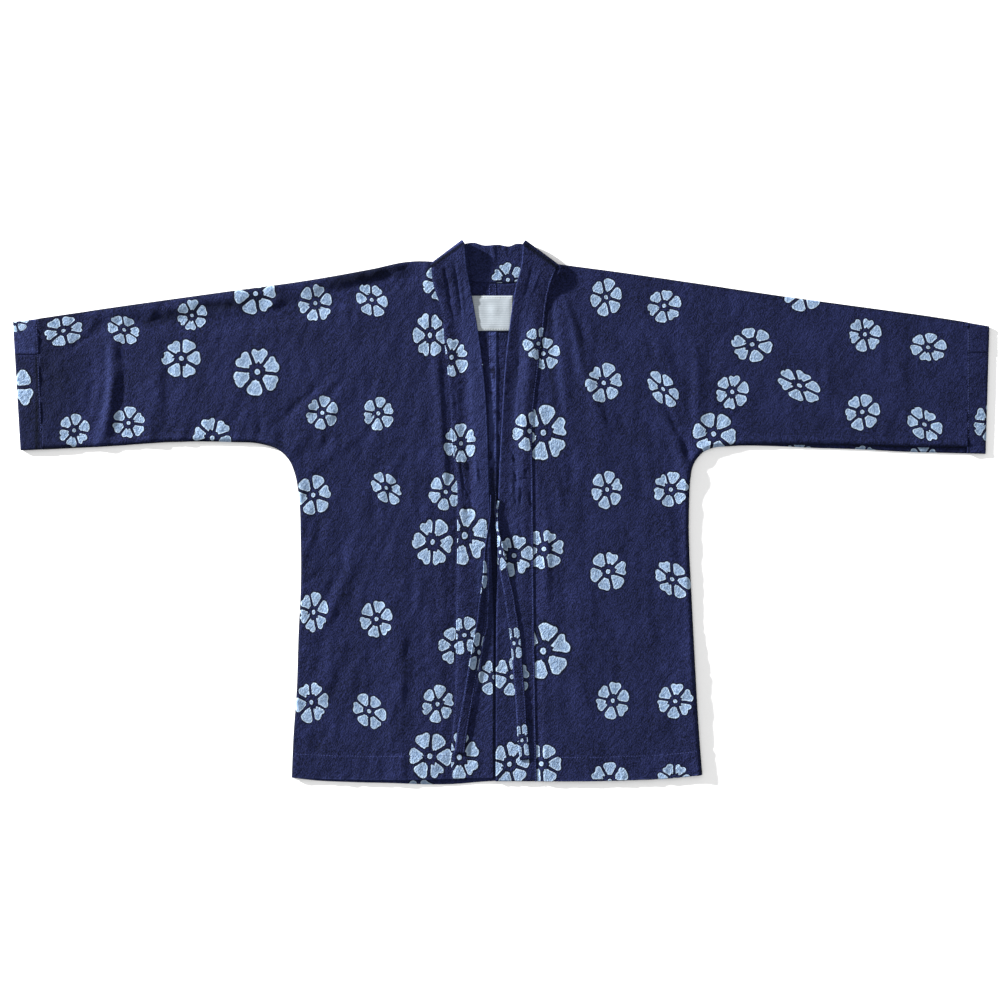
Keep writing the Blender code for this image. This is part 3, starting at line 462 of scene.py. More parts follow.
band = {
    "half": 0.95,            # half the thickness of the folded band
    "step": 2.0,
    "across": 30,
    "turnSteps": 12,
    "turnSeam": {"left": 3.2, "right": 4.3},      # radius of the shoulder folds at the neck seam
    "turnEdge": 5.2,         # and at the free edge
    "backSeamZ": 1.15,
    "backEdgeZ": 2.15,
    # shares of the width where the heights below are given
    "knots": {"left": (0.0, 0.14, 0.36, 0.62, 1.0), "right": (0.0, 0.09, 0.21, 0.62, 1.0)},
    "seam": {
        "left": outline(
            (-97.6, 343.8), (-95.0, 320.0), (-87.6, 297.0), (-82.4, 280.2), (-79.6, 245.2), (-74.7, 199.0),
            (-70.2, 150.0), (-67.8, 94.0), (-61.7, 45.0), (-61.0, -11.0), (-62.2, -123.0), (-64.8, -263.0),
            (-68.7, -319.0), (-69.4, -372.9)),
        "right": outline(
            (77.5, 341.9), (69.4, 322.0), (63.6, 298.4), (61.3, 280.9), (58.6, 255.0), (55.1, 234.0),
            (52.3, 204.6), (48.1, 171.0), (43.9, 129.0), (43.3, 101.0), (43.9, 45.0), (45.3, -123.0),
            (49.5, -376.4)),
    },
    "edge": {
        "left": outline(
            (-51.3, 375.7), (-49.3, 350.2), (-42.3, 309.6), (-32.5, 253.6), (-24.1, 187.8), (-19.9, 129.0),
            (-17.1, 32.4), (-13.4, -67.0), (-11.2, -123.0), (-10.3, -372.9)),
        "right": outline(
            (30.4, 375.3), (28.9, 350.2), (19.2, 309.6), (10.8, 253.6), (4.7, 194.8), (1.0, 129.0),
            (-3.1, 45.0), (-5.6, -67.0), (-6.6, -123.0), (-7.6, -376.4)),
    },
    "backEdge": outline(
        (-51.3, 375.7), (-39.5, 377.2), (-24.1, 373.4), (-3.1, 374.2), (10.8, 372.1), (22.0, 375.8),
        (30.4, 375.3)),
    "backSeam": outline(
        (-97.6, 343.8), (-87.0, 336.4), (-71.0, 330.4), (-36.6, 323.1), (-5.9, 321.2), (24.6, 322.9),
        (54.4, 330.0), (70.0, 336.4), (77.5, 341.9)),
    # heights of the band's middle layer from the neck seam to the free edge, down each front
    "rise": {
        "left": table("share seam inner low ridge edge",
            (0.00, 7.55, 8.25, 9.35, 10.65, 12.55), (0.025, 6.4, 7.0, 7.8, 8.8, 10.9),
            (0.055, 4.6, 4.9, 5.2, 6.0, 7.8), (0.10, 3.8, 3.8, 3.6, 4.2, 4.5),
            (0.16, 3.9, 3.6, 2.6, 3.5, 3.3), (0.24, 4.2, 3.6, 2.1, 3.7, 3.2),
            (0.34, 4.0, 3.4, 2.1, 4.1, 3.2), (0.46, 3.3, 3.1, 2.2, 3.7, 3.0),
            (0.62, 2.9, 3.1, 2.5, 2.5, 2.9), (1.00, 2.5, 2.6, 2.3, 2.3, 2.5)),
        "right": table("share seam inner low ridge edge",
            (0.00, 9.75, 10.0, 10.34, 11.49, 12.55), (0.021, 10.4, 10.2, 10.3, 11.0, 12.0),
            (0.047, 6.9, 7.0, 7.7, 9.0, 10.6), (0.07, 5.2, 5.2, 5.6, 7.0, 9.0),
            (0.12, 3.8, 4.2, 4.9, 4.7, 6.2), (0.17, 3.7, 4.4, 5.2, 3.3, 5.1),
            (0.25, 3.7, 4.4, 5.4, 2.7, 4.9), (0.34, 3.7, 4.1, 4.9, 2.6, 4.2),
            (0.46, 3.5, 3.3, 3.8, 3.0, 3.4), (0.62, 2.9, 2.6, 3.0, 2.6, 3.0),
            (1.00, 2.5, 2.4, 2.7, 2.3, 2.6)),
    },
    # creases pressed into the band by the way it turns at the shoulder, on the two fronts and round the back
    "creases": {
        "left": ridges(
            (-81.5, 355.8, -70.3, 280.2, 0, 3.2, -1.5, 0.3, 0),
            (-66.1, 350.2, -53.5, 266.2, 0, 3.2, -1.4, 0.3, 0),
            (-75.9, 332.0, -64.8, 255.0, 0, 3.0, -0.9, 0, 0),
            (-73.1, 350.2, -61.9, 271.8, 0, 4.5, 0.5, 0, 0),
            (-56.3, 350.2, -46.5, 255.0, 0, 3.5, -0.45, 0, 0),
            (-67.5, 185.0, -61.9, 129.0, 0, 3.5, -0.5, 0, 0),
            (-43.8, 45.0, -40.9, -11.0, 0, 3.6, -1.0, 0, 0), (-54.9, 61.8, -52.1, 17.0, 0, 2.8, -1.4, 0, 0),
            (-57.0, 40.0, -49.0, 22.0, 0, 2.6, 1.3, 0, 0), (-49.0, 76.0, -44.0, 50.0, 1, 3.0, -1.2, 0, 0),
            (-58.0, 78.0, -55.0, 48.0, 0, 2.6, -1.1, 0, 0), (-36.0, 70.0, -33.0, 40.0, 0, 3.0, 1.1, 0, 0),
            (-47.0, 34.0, -40.0, 16.0, 0, 2.6, 1.1, 0, 0), (-52.0, 12.0, -46.0, -4.0, 0, 2.6, -1.0, 0, 0),
            (-78.0, 300.0, -70.0, 284.0, 0, 2.4, -0.9, 0, 0),
            (-84.0, 322.0, -75.0, 306.0, 0, 2.4, -0.9, 0, 0)),
        "right": ridges(
            (27.7, 264.0, 18.0, 110.0, 0, 2.8, -0.6, 0, 0),
            (45.8, 350.2, 31.8, 297.0, 0, 3.4, -0.7, 0.3, 0), (55.6, 341.8, 38.8, 297.0, 0, 3.2, 0.7, 0, 0),
            (38.8, 308.2, 30.4, 255.0, 0, 3.5, 0.5, 0, 0), (23.4, 182.2, 22.0, 115.0, 0, 4.5, 0.8, 0, 0),
            (34.6, 185.0, 34.6, 157.0, 0, 3.0, -0.6, 0, 0), (18.4, 60.2, 22.0, 37.2, 0, 2.6, -1.9, 0, 0),
            (23.4, 46.0, 38.8, 47.8, 0, 2.6, -1.6, 0, 0), (28.3, 32.4, 25.6, 8.2, 0, 2.6, -1.9, 0, 0),
            (22.0, 38.0, 26.0, 32.0, 0, 2.4, 1.4, 0, 0), (19.0, 24.0, 21.0, 10.0, 0, 2.4, -1.4, 0, 0),
            (36.0, 62.0, 33.0, 50.0, 0, 2.6, -1.2, 0, 0), (13.0, 50.0, 15.0, 22.0, 1, 3.4, 1.3, 0, 0),
            (34.0, 20.0, 42.0, 6.0, 0, 3.0, 1.1, 0, 0), (24.0, -14.0, 31.0, -46.0, 1, 2.8, -1.1, 0, 0),
            (14.0, 90.0, 20.0, 66.0, 0, 2.6, -1.2, 0, 0), (40.0, 30.0, 41.0, 12.0, 0, 2.4, -1.1, 0, 0),
            (16.4, 101.0, 13.6, 45.0, 0, 3.5, 0.5, 0, 0), (9.4, 17.0, 8.0, -67.0, 0, 3.5, -0.4, 0, 0)),
        "back": ridges(
            (-11.5, 376.8, -10.1, 350.2, 0, 5, 1.2, 0.5, 0.3),
            (5.2, 376.8, 5.2, 354.4, 0, 5, -0.8, 0.5, 0.3),
            (20.6, 374.0, 22.0, 350.2, 0, 6, 0.6, 0.5, 0.2)),
    },
    "groove": (1.8, 1.1, 0.30),       # topstitching beside the seam: distance, width, depth
    # how hard each seam gathers the cloth, which goes by Y at the neck seam, and how far away that is felt
    "gather": {"edge": (0.3, 6.0), "back": (0.4, 8.0)},
    "seamReach": 10.0,
    "seamPull": outline((-380.0, 0.5), (60.0, 0.6), (180.0, 0.8), (250.0, 1.0), (340.0, 1.2)),
    # a painted highlight on a strip of the band's width down each front, where it faces the light, by Y
    "paintedHighlightStrip": outline((-200.0, 0.15), (60.0, 1.0), (240.0, 1.0), (330.0, 0.3)),
    # painted highlight along the free edge, paler cloth along the seam, a cap on the paleness, and painted
    # shade along the shoulder fold
    "wearAndPaintedLight": {"rim": (1.9, 0.7), "seam": (1.2, 0.3), "most": 1.2, "fold": 1.2},
    # rows of small puckers that the seam pulls: from and to along Y, reach inwards, spacing, depth, slant
    "puckers": {
        "left": table("top low reach spacing depth slant",
            (338.0, 246.0, 12.0, 5.6, 0.55, 0.8), (246.0, 60.0, 12.0, 9.0, 0.16, 0.5),
            (60.0, -370.0, 9.0, 11.0, 0.14, 0.2)),
        "right": table("top low reach spacing depth slant",
            (312.0, 272.0, 14.0, 8.5, 0.34, -0.6), (224.0, 150.0, 12.0, 7.5, 0.32, -0.5),
            (150.0, 20.0, 12.0, 9.5, 0.24, -0.3), (20.0, -372.0, 9.0, 11.0, 0.14, 0.2)),
    },
}


def bandRow(side, share):
    rise = band["rise"][side]
    heights = np.column_stack([rise[k] for k in ("seam", "inner", "low", "ridge", "edge")])
    return smooth(rise["share"], heights, np.atleast_1d(share))


def bandAcross(side, heights, t):
    # the five heights of each row, joined by a smooth line across the band
    knots = np.array(band["knots"][side])
    slopes = np.gradient(heights, knots, axis=1)
    slopes[:, 1:-1] *= 0.8
    t = np.clip(t, 0.0, 1.0)
    i = np.clip(np.searchsorted(knots, t, side="right") - 1, 0, 3)
    row = np.arange(len(t))
    span = knots[i + 1] - knots[i]
    s = (t - knots[i]) / span
    return (heights[row, i] * (1 + 2 * s) * (1 - s) ** 2 + slopes[row, i] * span * s * (1 - s) ** 2
            + heights[row, i + 1] * s * s * (3 - 2 * s) + slopes[row, i + 1] * span * s * s * (s - 1))


def bandPlace(side, x, y):
    # share across and share down of points that lie on a front part of the band
    knots = np.linspace(0, 1, 400)
    seam, edge = path(band["seam"][side])(knots), path(band["edge"][side])(knots)
    seamX = np.interp(-y, -seam[:, 1], seam[:, 0])
    edgeX = np.interp(-y, -edge[:, 1], edge[:, 0])
    t = np.clip((x - seamX) / (edgeX - seamX), 0, 1)
    share = (1 - t) * np.interp(-y, -seam[:, 1], knots) + t * np.interp(-y, -edge[:, 1], knots)
    return t, share, np.abs(x - seamX)


def bandDetail(side, x, y):
    # creases and puckers on top of the band's plain form
    _, _, fromSeam = bandPlace(side, x, y)
    total = folded(x, y, band["creases"][side])
    for top, low, reach, spacing, depth, slant in zip(*band["puckers"][side].values()):
        ends = softStep((top - y) / 12) * softStep((y - low) / 12)
        beat = y + slant * fromSeam + 2.2 * ripple(x * 0.2, y, 14, 40, 5)
        uneven = 0.65 + 0.35 * ripple(x * 0.3, y, 20, 60, 6)
        waves = depth * uneven * ends * np.sin(beat * 2 * np.pi / spacing)
        total += waves * bell(fromSeam, reach) * softStep(fromSeam / 2.5)
    line, width, depth = band["groove"]
    total -= bell(fromSeam - line, width, depth)
    total += 0.17 * ripple(x, y, 9, 34, 7)
    return total


def bandTop(side, x, y):
    # height of the band's upper face
    t, share, _ = bandPlace(side, x, y)
    return bandAcross(side, bandRow(side, share), t) + band["half"] + bandDetail(side, x, y)


def underarmFront(side):
    rows = {k: v.copy() for k, v in underarm[side].items()}
    roll = seamRoll[side]
    rows["y"] += np.interp(rows["x"], roll["x"], roll["inset"]) * (rows["y"] > 80.0)
    return rows


def hemPuckers(along, fromEdge):
    # the stitched hem: doubled cloth below the stitch line, the line pulled in, uneven puckers below it
    depth, line = hemming["depth"], hemming["line"]
    thick = hemming["thick"] * softStep((depth - fromEdge) / 2.0)
    below = softStep((depth - fromEdge) / 5.0) + bell(fromEdge - line, 7.0, 0.5)
    height, spacing, width, seed = hemming["ribs"]
    puckers = height * (ribs(along, spacing, width, seed) - 0.3) * below
    return thick - bell(fromEdge - line, *hemming["groove"]) + puckers


def shortPuckers(x, y, away, height, shortest, longest, seed, reach):
    return height * ripple(x * 0.2, y, shortest, longest, seed) * bell(away, reach)


def frontHeight(side, x, y):
    # height of a front panel's middle layer
    overTop, under = distance(x, y, path(sleeveTop[side])), distance(x, y, path(underarmFront(side)))
    rim = np.minimum(overTop, under)
    seam = distance(x, y, path(frontSeam[side]))
    hem = distance(x, y, path(frontHem[side]))
    share = np.interp(-y, cloth["seamEnds"], [0.0, 1.0])
    atSeam = bandRow(side, share)[:, 0] - cloth["wall"] / 2 - cloth["frontZ"]
    rise = cloth["loft"] + folded(x, y, folds[side])
    lift, start = cloth["sleeveLift"][side]
    rise += lift * softStep((np.abs(x) - start) / (cloth["sleeveEnd"] - start)) ** 0.8
    # the turnings thicken the underarm seams, and are pressed flat down the left side
    start, over = cloth["beadStart"]
    turned = 1.0 if side == "right" else softStep((-x - start) / over)
    inside, width, height = cloth["bead"]
    rise += bell(under - inside, width, height) * turned
    end, over, top = cloth["sideEnd"]
    down, more = zip(*cloth["sideLift"][side])
    atEdge = np.interp(y, down, more) * bell(rim, cloth["sideReach"])
    rise += atEdge * softStep((end - np.abs(x)) / over) * (y < top)
    depth, lean = cloth["restless"][side]
    rise += depth * (0.4 * ripple(x, y, 18, 65, 11) + 0.8 * ripple(x, y, 14, 60, 13, lean))
    rise += 0.07 * ripple(x, y, 9, 18, 12)
    ease = cloth["seamEase"][side]
    rise = rise + (atSeam - rise) * (1 - softStep(seam / ease))
    rise += folded(x, y, creases[side]) * softStep((seam - 1.0) / 5.0)
    rise += hemPuckers(x, hem)
    # short puckers where the sleeve is sewn to its cuff, along the side seam and beside the collar seam
    rise += shortPuckers(x, y, np.abs(np.abs(x) - cloth["sleeveEnd"]), *cloth["puckers"]["cuff"])
    rise += shortPuckers(x, y, rim, *cloth["puckers"]["side"])
    rise -= bell(seam - cloth["topstitch"], *cloth["dip"])
    rise += shortPuckers(x, y, seam, *cloth["puckers"]["collar"])
    # hollows turn softly where they come down to the layer below
    rise = 0.5 * (rise + np.sqrt(rise * rise + 0.09))
    creased, rolled = cloth["roll"]
    below = creased + (rolled - creased) * turned
    margin = softStep(overTop / creased + 0.12) * softStep(under / below + 0.12)
    return cloth["frontZ"] + rise * margin


# meshes
def gridMesh(name, grids, marks, closed=False, caps=False):
    # one mesh from several grids of points in millimetres, each with its chart of flowers, edges merged;
    # marks gives each point's place along and away from its nearest seam, how hard that pulls, and the wear and
    # painted light
    points, faces, charts = [], [], []
    base = 0
    for grid, chart in grids:
        rows, cols = grid.shape[:2]
        ids = base + np.arange(rows * cols).reshape(rows, cols)
        quads = np.stack([ids[:-1, :-1], ids[:-1, 1:], ids[1:, 1:], ids[1:, :-1]], axis=-1).reshape(-1, 4)
        points.append(grid.reshape(-1, 3))
        faces.append(quads)
        charts += [chart] * len(quads)
        base += rows * cols
    points, faces = np.vstack(points), np.vstack(faces)
    _, first, back = np.unique(np.round(points, 3), axis=0, return_index=True, return_inverse=True)
    faces = back.reshape(-1)[faces]
    points = points[first]
    mesh = bpy.data.meshes.new(name)
    loops = [list(dict.fromkeys(face)) for face in faces.tolist()]
    kept = [i for i, loop in enumerate(loops) if len(loop) > 2]
    mesh.from_pydata((points * mm).tolist(), [], [loops[i] for i in kept])
    mesh.validate()
    charts = [charts[i] for i in kept]
    printFlowers(mesh, charts)
    markSeams(mesh, marks)
    bm = bmesh.new()
    bm.from_mesh(mesh)
    if caps:
        bmesh.ops.holes_fill(bm, edges=[e for e in bm.edges if e.is_boundary])
    if closed:
        bmesh.ops.recalc_face_normals(bm, faces=bm.faces)
    elif sum(face.normal.z * face.calc_area() for face in bm.faces) < 0:
        bmesh.ops.reverse_faces(bm, faces=bm.faces)
    bm.to_mesh(mesh)
    bm.free()
    mesh.shade_smooth()
    return mesh


def meshPlaces(mesh):
    # the vertex at each face corner, and the vertices' places in millimetres
    corners = np.empty(len(mesh.loops), int)
    mesh.loops.foreach_get("vertex_index", corners)
    points = np.empty(len(mesh.vertices) * 3)
    mesh.vertices.foreach_get("co", points)
    return corners, points.reshape(-1, 3) / mm


def printFlowers(mesh, charts):
    # UV map "flower" holds each face's place in its nearest flower, 1 at the petal tips,
    # and "flowerKind" a number that differs from flower to flower
    place = mesh.uv_layers.new(name="flower")
    kind = mesh.uv_layers.new(name="flowerKind")
    count = len(mesh.polygons)
    totals = np.empty(count, int)
    mesh.polygons.foreach_get("loop_total", totals)
    middles = np.empty(count * 3)
    mesh.polygons.foreach_get("center", middles)
    middles = middles.reshape(-1, 3) / mm
    corners, points = meshPlaces(mesh)
    uv = np.full((len(mesh.loops), 2), printing["blank"])
    kinds = np.zeros((len(mesh.loops), 2))
    face = np.repeat(np.arange(count), totals)
    for chosen in set(charts) - {None}:
        rows = flowers[chosen]
        inChart = np.array([c == chosen for c in charts])
        best, which = np.full(count, printing["reach"]), np.full(count, -1)
        for i, (x, y, a, b, lean, _) in enumerate(zip(*rows.values())):
            c, s = math.cos(math.radians(lean)), math.sin(math.radians(lean))
            dx, dy = middles[:, 0] - x, middles[:, 1] - y
            far = np.hypot((dx * c + dy * s) / a, (dy * c - dx * s) / b)
            nearer = inChart & (far < best)
            best[nearer], which[nearer] = far[nearer], i
        mine = which[face]
        ok = (mine >= 0) & inChart[face]
        x, y, a, b, lean, turn = (column[mine] for column in rows.values())
        lean, turn = np.radians(lean), np.radians(turn)
        dx, dy = points[corners, 0] - x, points[corners, 1] - y
        u = (dx * np.cos(lean) + dy * np.sin(lean)) / a
        v = (dy * np.cos(lean) - dx * np.sin(lean)) / b
        uv[ok, 0] = (u * np.cos(turn) + v * np.sin(turn))[ok]
        uv[ok, 1] = (v * np.cos(turn) - u * np.sin(turn))[ok]
        kinds[ok, 0] = np.round(x * 3.7 + y * 1.1)[ok]
    place.data.foreach_set("uv", uv.ravel())
    kind.data.foreach_set("uv", kinds.ravel())


def markSeams(mesh, marks):
    # UV maps "seam" (along and away, in metres) and "seamPull" (pull, and wear with painted highlight and
    # painted shade)
    corners, points = meshPlaces(mesh)
    along, away, pull, wearAndPaintedLight = marks(points[:, 0], points[:, 1])
    for name, u, v in (("seam", along * mm, away * mm), ("seamPull", pull, wearAndPaintedLight)):
        values = np.column_stack([u, v])[corners]
        mesh.uv_layers.new(name=name).data.foreach_set("uv", values.ravel())


def strongest(*seams):
    # of several seams, each given as along, away, pull and reach, the one that pulls hardest at each point
    shape = seams[0][1].shape
    along, away, pull, reach = (np.array([np.broadcast_to(seam[k], shape) for seam in seams])
                                for k in range(4))
    felt = pull * bell(away, reach)
    first = felt.argmax(axis=0)
    row = np.arange(felt.shape[1])
    return along[first, row], away[first, row], felt[first, row]


def normals(grid):
    along = np.gradient(grid, axis=0)
    across = np.gradient(grid, axis=1)
    n = np.cross(across, along)
    return n / np.maximum(np.linalg.norm(n, axis=2), 1e-9)[..., None]


def tube(grid, half, raised, arc=5):
    # a doubled strip with round edges: the upper face with its detail, a bend, the plain lower face, a bend
    n = normals(grid)
    if n[5, 5, 2] < 0:
        n = -n

    def bend(column, way, start, end):
        angles = np.linspace(start, end, arc + 2)[1:-1]
        return [grid[:, column] + n[:, column] * half * np.cos(a) + way * half * np.sin(a) for a in angles]

    top = grid + n * (half + raised)[..., None]
    low = grid - n * half
    ring = [top[:, k] for k in range(grid.shape[1])]
    ring += bend(-1, unit(grid[:, -1] - grid[:, -2]), 0, np.pi)
    ring += [low[:, k] for k in range(grid.shape[1] - 1, -1, -3)]
    ring += bend(0, unit(grid[:, 0] - grid[:, 1]), np.pi, 0)
    ring.append(ring[0])
    return np.stack(ring, axis=1)


parts = bpy.data.collections.new("Haori cloth")
scene.collection.children.link(parts)


def addPiece(name, mesh, finish, nodes=(), wall=None):
    made = bpy.data.objects.new(name, mesh)
    parts.objects.link(made)
    if not mesh.materials:
        mesh.materials.append(finish)
    if wall:
        solid = made.modifiers.new("cloth wall", "SOLIDIFY")
        solid.thickness = wall * mm
        solid.offset = 0.0
        solid.use_even_offset = True
        solid.use_quality_normals = True
    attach(made, "root")
    if nodes:
        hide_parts(*nodes)
    return made


# materials
def hexColour(text, alpha=1.0):
    linear = []
    for i in (1, 3, 5):
        c = int(text[i:i + 2], 16) / 255
        linear.append(c / 12.92 if c <= 0.04045 else ((c + 0.055) / 1.055) ** 2.4)
    return (*linear, alpha)


def node(tree, kind, inputs=(), pick=0, **settings):
    # adds a node with its settings and gives back one of its outputs;
    # an input is a number, a colour or another node's output
    made = tree.nodes.new(kind)
    for name, value in settings.items():
        setattr(made, name, value)
    for key, value in (inputs.items() if isinstance(inputs, dict) else enumerate(inputs)):
        if isinstance(value, bpy.types.NodeSocket):
            tree.links.new(value, made.inputs[key])
        else:
            made.inputs[key].default_value = value
    return made.outputs[pick] if len(made.outputs) else None


def newMaterial(name, roughness, specular):
    made = bpy.data.materials.new(name)
    made.use_nodes = True
    shader = made.node_tree.nodes["Principled BSDF"]
    shader.inputs["Roughness"].default_value = roughness
    shader.inputs["Specular IOR Level"].default_value = specular
    return made, made.node_tree, shader


dye = {
    "threads": (52, -40),    # degrees: the two thread directions, a little off the garment's axes
    "deep": "#070A18",       # indigo in the hollows of the weave
    "face": "#1D2245",       # and on its raised threads
    "wornAndPaintedLight": "#262D52",       # where seams and creases have rubbed pale, and the colour of the painted highlights
    "edge": "#050812",       # where the dye gathers against the paste, round each petal; also the colour of the painted shade
    "petal": "#8294AA",      # resisted petals, nearly white before the second dip
    "petalDeep": "#435874",
    "petalRim": "#95A5B6",
    "slubLength": 5.6,       # mm: longest thick places in the threads
    "slubWidth": 1.7,        # mm: 3 times coarser than the real 0.6 mm thread pitch, finer than a pixel
    "nub": 2.0,              # mm: size of the knots and hollows where threads cross, drawn coarser too
    "dragLength": 34.0,      # mm: soft drag lines
    "dragWidth": 8.5,
    "dragTurn": 50,          # degrees: they slant up to the right
    "petalGap": 0.135,       # of the flower's half size, as the next three
    "eye": 0.115,
    "wander": 0.045,         # how far the hand-cut edges stray, under a millimetre
    "inner": (0.33, 0.40),   # where the petals begin
    "pucker": 5.0,           # mm from one small pucker to the next along a seam
}


def printedCotton(name):
    # Slubby plain-weave cotton, piece dyed with indigo over a stencilled rice-paste resist, then washed.
    # It gives the eye a matt navy with pale streaks from uneven threads and crisp powdery blue flowers.
    made, tree, shader = newMaterial(name, 0.9, 0.05)
    add = functools.partial(node, tree)
    maths, ramp, mix, noise = "ShaderNodeMath", "ShaderNodeMapRange", "ShaderNodeMix", "ShaderNodeTexNoise"
    apart, mapping, vector, uvMap = ("ShaderNodeSeparateXYZ", "ShaderNodeMapping", "ShaderNodeVectorMath",
                                     "ShaderNodeUVMap")
    colours = {"pick": 2, "data_type": "RGBA"}

    def weighed(*pairs):
        # several patterns added up, each by its weight
        total = None
        for pattern, weight in pairs:
            part = add(maths, (pattern, weight), operation="MULTIPLY")
            total = part if total is None else add(maths, (total, part), operation="ADD")
        return total

    spot = add("ShaderNodeTexCoord", pick="Object")
    # slubs run along both thread directions
    slub = (dye["slubLength"] * mm, dye["slubWidth"] * mm, 0.005)
    streaks = []
    for turn, shift in zip(dye["threads"], (0.0, 3.7)):
        placed = add(mapping, (spot, (shift, shift, 0.0), (0.0, 0.0, math.radians(turn)), slub),
                     vector_type="TEXTURE")
        streaks.append(add(noise, {"Vector": placed, "Scale": 1.0, "Detail": 2.5, "Roughness": 0.62}))
    nubs = add(noise, {"Vector": spot, "Scale": 1000 / dye["nub"], "Detail": 1.0, "Roughness": 0.6})
    weave = add(ramp, (weighed((streaks[0], 0.34), (streaks[1], 0.20), (nubs, 0.46)), 0.41, 0.61))
    cloudy = add(ramp, (add(noise, {"Vector": spot, "Scale": 22.0, "Detail": 3.0}), 0.34, 0.68))
    tone = weighed((weave, 0.80), (cloudy, 0.20))
    navy = add(mix, {0: tone, 6: hexColour(dye["deep"]), 7: hexColour(dye["face"])}, **colours)
    # the seamPull map's second value paints the navy: above zero paler, for rubbed wear and painted highlight;
    # below zero darker, as painted shade
    pull, wearAndPaintedLight = add(apart, (add(uvMap, uv_map="seamPull"),)).node.outputs[:2]
    rubbedAndPaintedLight = add(maths, (wearAndPaintedLight, add(ramp, (weave, 0.0, 1.0, 0.45, 1.0))), operation="MULTIPLY")
    navy = add(mix, {0: rubbedAndPaintedLight, 6: navy, 7: hexColour(dye["wornAndPaintedLight"])}, **colours)
    paintedShadeAmount = add(maths, (add(ramp, (wearAndPaintedLight, 0.0, -1.0)), 0.9), operation="MULTIPLY")
    navy = add(mix, {0: paintedShadeAmount, 6: navy, 7: hexColour(dye["edge"])}, **colours)

    wander = add(noise, {"Vector": spot, "Scale": 150.0, "Detail": 0.0}, "Color")
    wander = add(vector, (wander, (0.5, 0.5, 0.5)), operation="SUBTRACT")
    wander = add(vector, {0: wander, "Scale": dye["wander"]}, operation="SCALE")
    place = add(vector, (add(uvMap, uv_map="flower"), wander), operation="ADD")
    x, y = add(apart, (place,)).node.outputs[:2]
    squares = [add(maths, (side, side), operation="MULTIPLY") for side in (x, y)]
    radius = add(maths, (add(maths, squares, operation="ADD"),), operation="SQRT")
    angle = add(maths, (y, x), operation="ARCTAN2")
    petal = add(maths, (angle, math.radians(60)), operation="DIVIDE")
    petal = add(maths, (petal,), operation="ROUND")
    # three numbers by chance for each petal of each flower
    flower = add(maths, (add(apart, (add(uvMap, uv_map="flowerKind"),)),), operation="ROUND")
    petal = add(maths, (add(maths, (petal, 0.3), operation="ADD"),), operation="ABSOLUTE")
    key = add("ShaderNodeCombineXYZ", (flower, petal))
    chance = add("ShaderNodeTexWhiteNoise", (key,), "Color", noise_dimensions="3D")
    tip, bite, swing = add("ShaderNodeSeparateColor", (chance,)).node.outputs[:3]
    swing = add(maths, (swing, 0.5), operation="SUBTRACT")
    within = add(maths, (angle, math.radians(30), math.radians(-30)), operation="WRAP")
    within = add(maths, (within, add(maths, (swing, 0.07), operation="MULTIPLY")), operation="ADD")
    off = add(maths, (within,), operation="ABSOLUTE")
    # how far inside the petal's long sides a point is, which leaves navy between petals
    side = add(maths, (add(maths, (math.radians(30), off), operation="SUBTRACT"),), operation="SINE")
    side = add(maths, (radius, side), operation="MULTIPLY")
    gap = add(maths, (add(maths, (tip, 0.025), operation="MULTIPLY"), dye["petalGap"] / 2), operation="ADD")
    side = add(maths, (side, gap), operation="SUBTRACT")
    # how far outside the inner end, with its small teeth
    tooth = add(maths, (1.0, add(maths, (off, 0.20), operation="DIVIDE")), operation="SUBTRACT")
    tooth = add(maths, (tooth, 0.0), operation="MAXIMUM")
    tooth = add(maths, (tooth, add(ramp, (bite, 0.3, 0.9, -0.07, 0.10))), operation="MULTIPLY")
    begin = add(maths, (tooth, add(ramp, (swing, -0.5, 0.5, *dye["inner"]))), operation="ADD")
    inner = add(maths, (radius, begin), operation="SUBTRACT")
    # how far inside the heart-shaped tip: its notch, then its round corners
    shifted = add(maths, (within, add(maths, (swing, 0.22), operation="MULTIPLY")), operation="ADD")
    shifted = add(maths, (shifted, 0.15), operation="DIVIDE")
    notch = add(maths, (add(maths, (shifted, shifted), operation="MULTIPLY"), -1.0), operation="MULTIPLY")
    notch = add(maths, (2.718, notch), operation="POWER")
    notch = add(maths, (notch, add(ramp, (bite, 0.25, 0.95, 0.0, 0.13))), operation="MULTIPLY")
    corner = add(maths, (add(maths, (off, 0.48), operation="DIVIDE"), 4.0), operation="POWER")
    corner = add(maths, (corner, 0.26), operation="MULTIPLY")
    reach = add(maths, (add(maths, (tip, 0.09), operation="MULTIPLY"), 0.95), operation="ADD")
    reach = add(maths, (reach, add(maths, (notch, corner), operation="ADD")), operation="SUBTRACT")
    outer = add(maths, (add(maths, (reach, radius), operation="SUBTRACT"), 0.8), operation="MULTIPLY")
    inside = add(maths, (inner, outer, 0.03), operation="SMOOTH_MIN")
    inside = add(maths, (side, inside, 0.05), operation="SMOOTH_MIN")
    inside = add(maths, (inside, add(maths, (dye["eye"], radius), operation="SUBTRACT")), operation="MAXIMUM")
    mask = add(ramp, (inside, -0.006, 0.014), interpolation_type="SMOOTHSTEP")
    rim = add(ramp, (inside, 0.012, 0.075, 1.0, 0.0))
    gathered = add(maths, (add(ramp, (inside, -0.085, -0.02)), 0.95), operation="MULTIPLY")
    navy = add(mix, {0: gathered, 6: navy, 7: hexColour(dye["edge"])}, **colours)
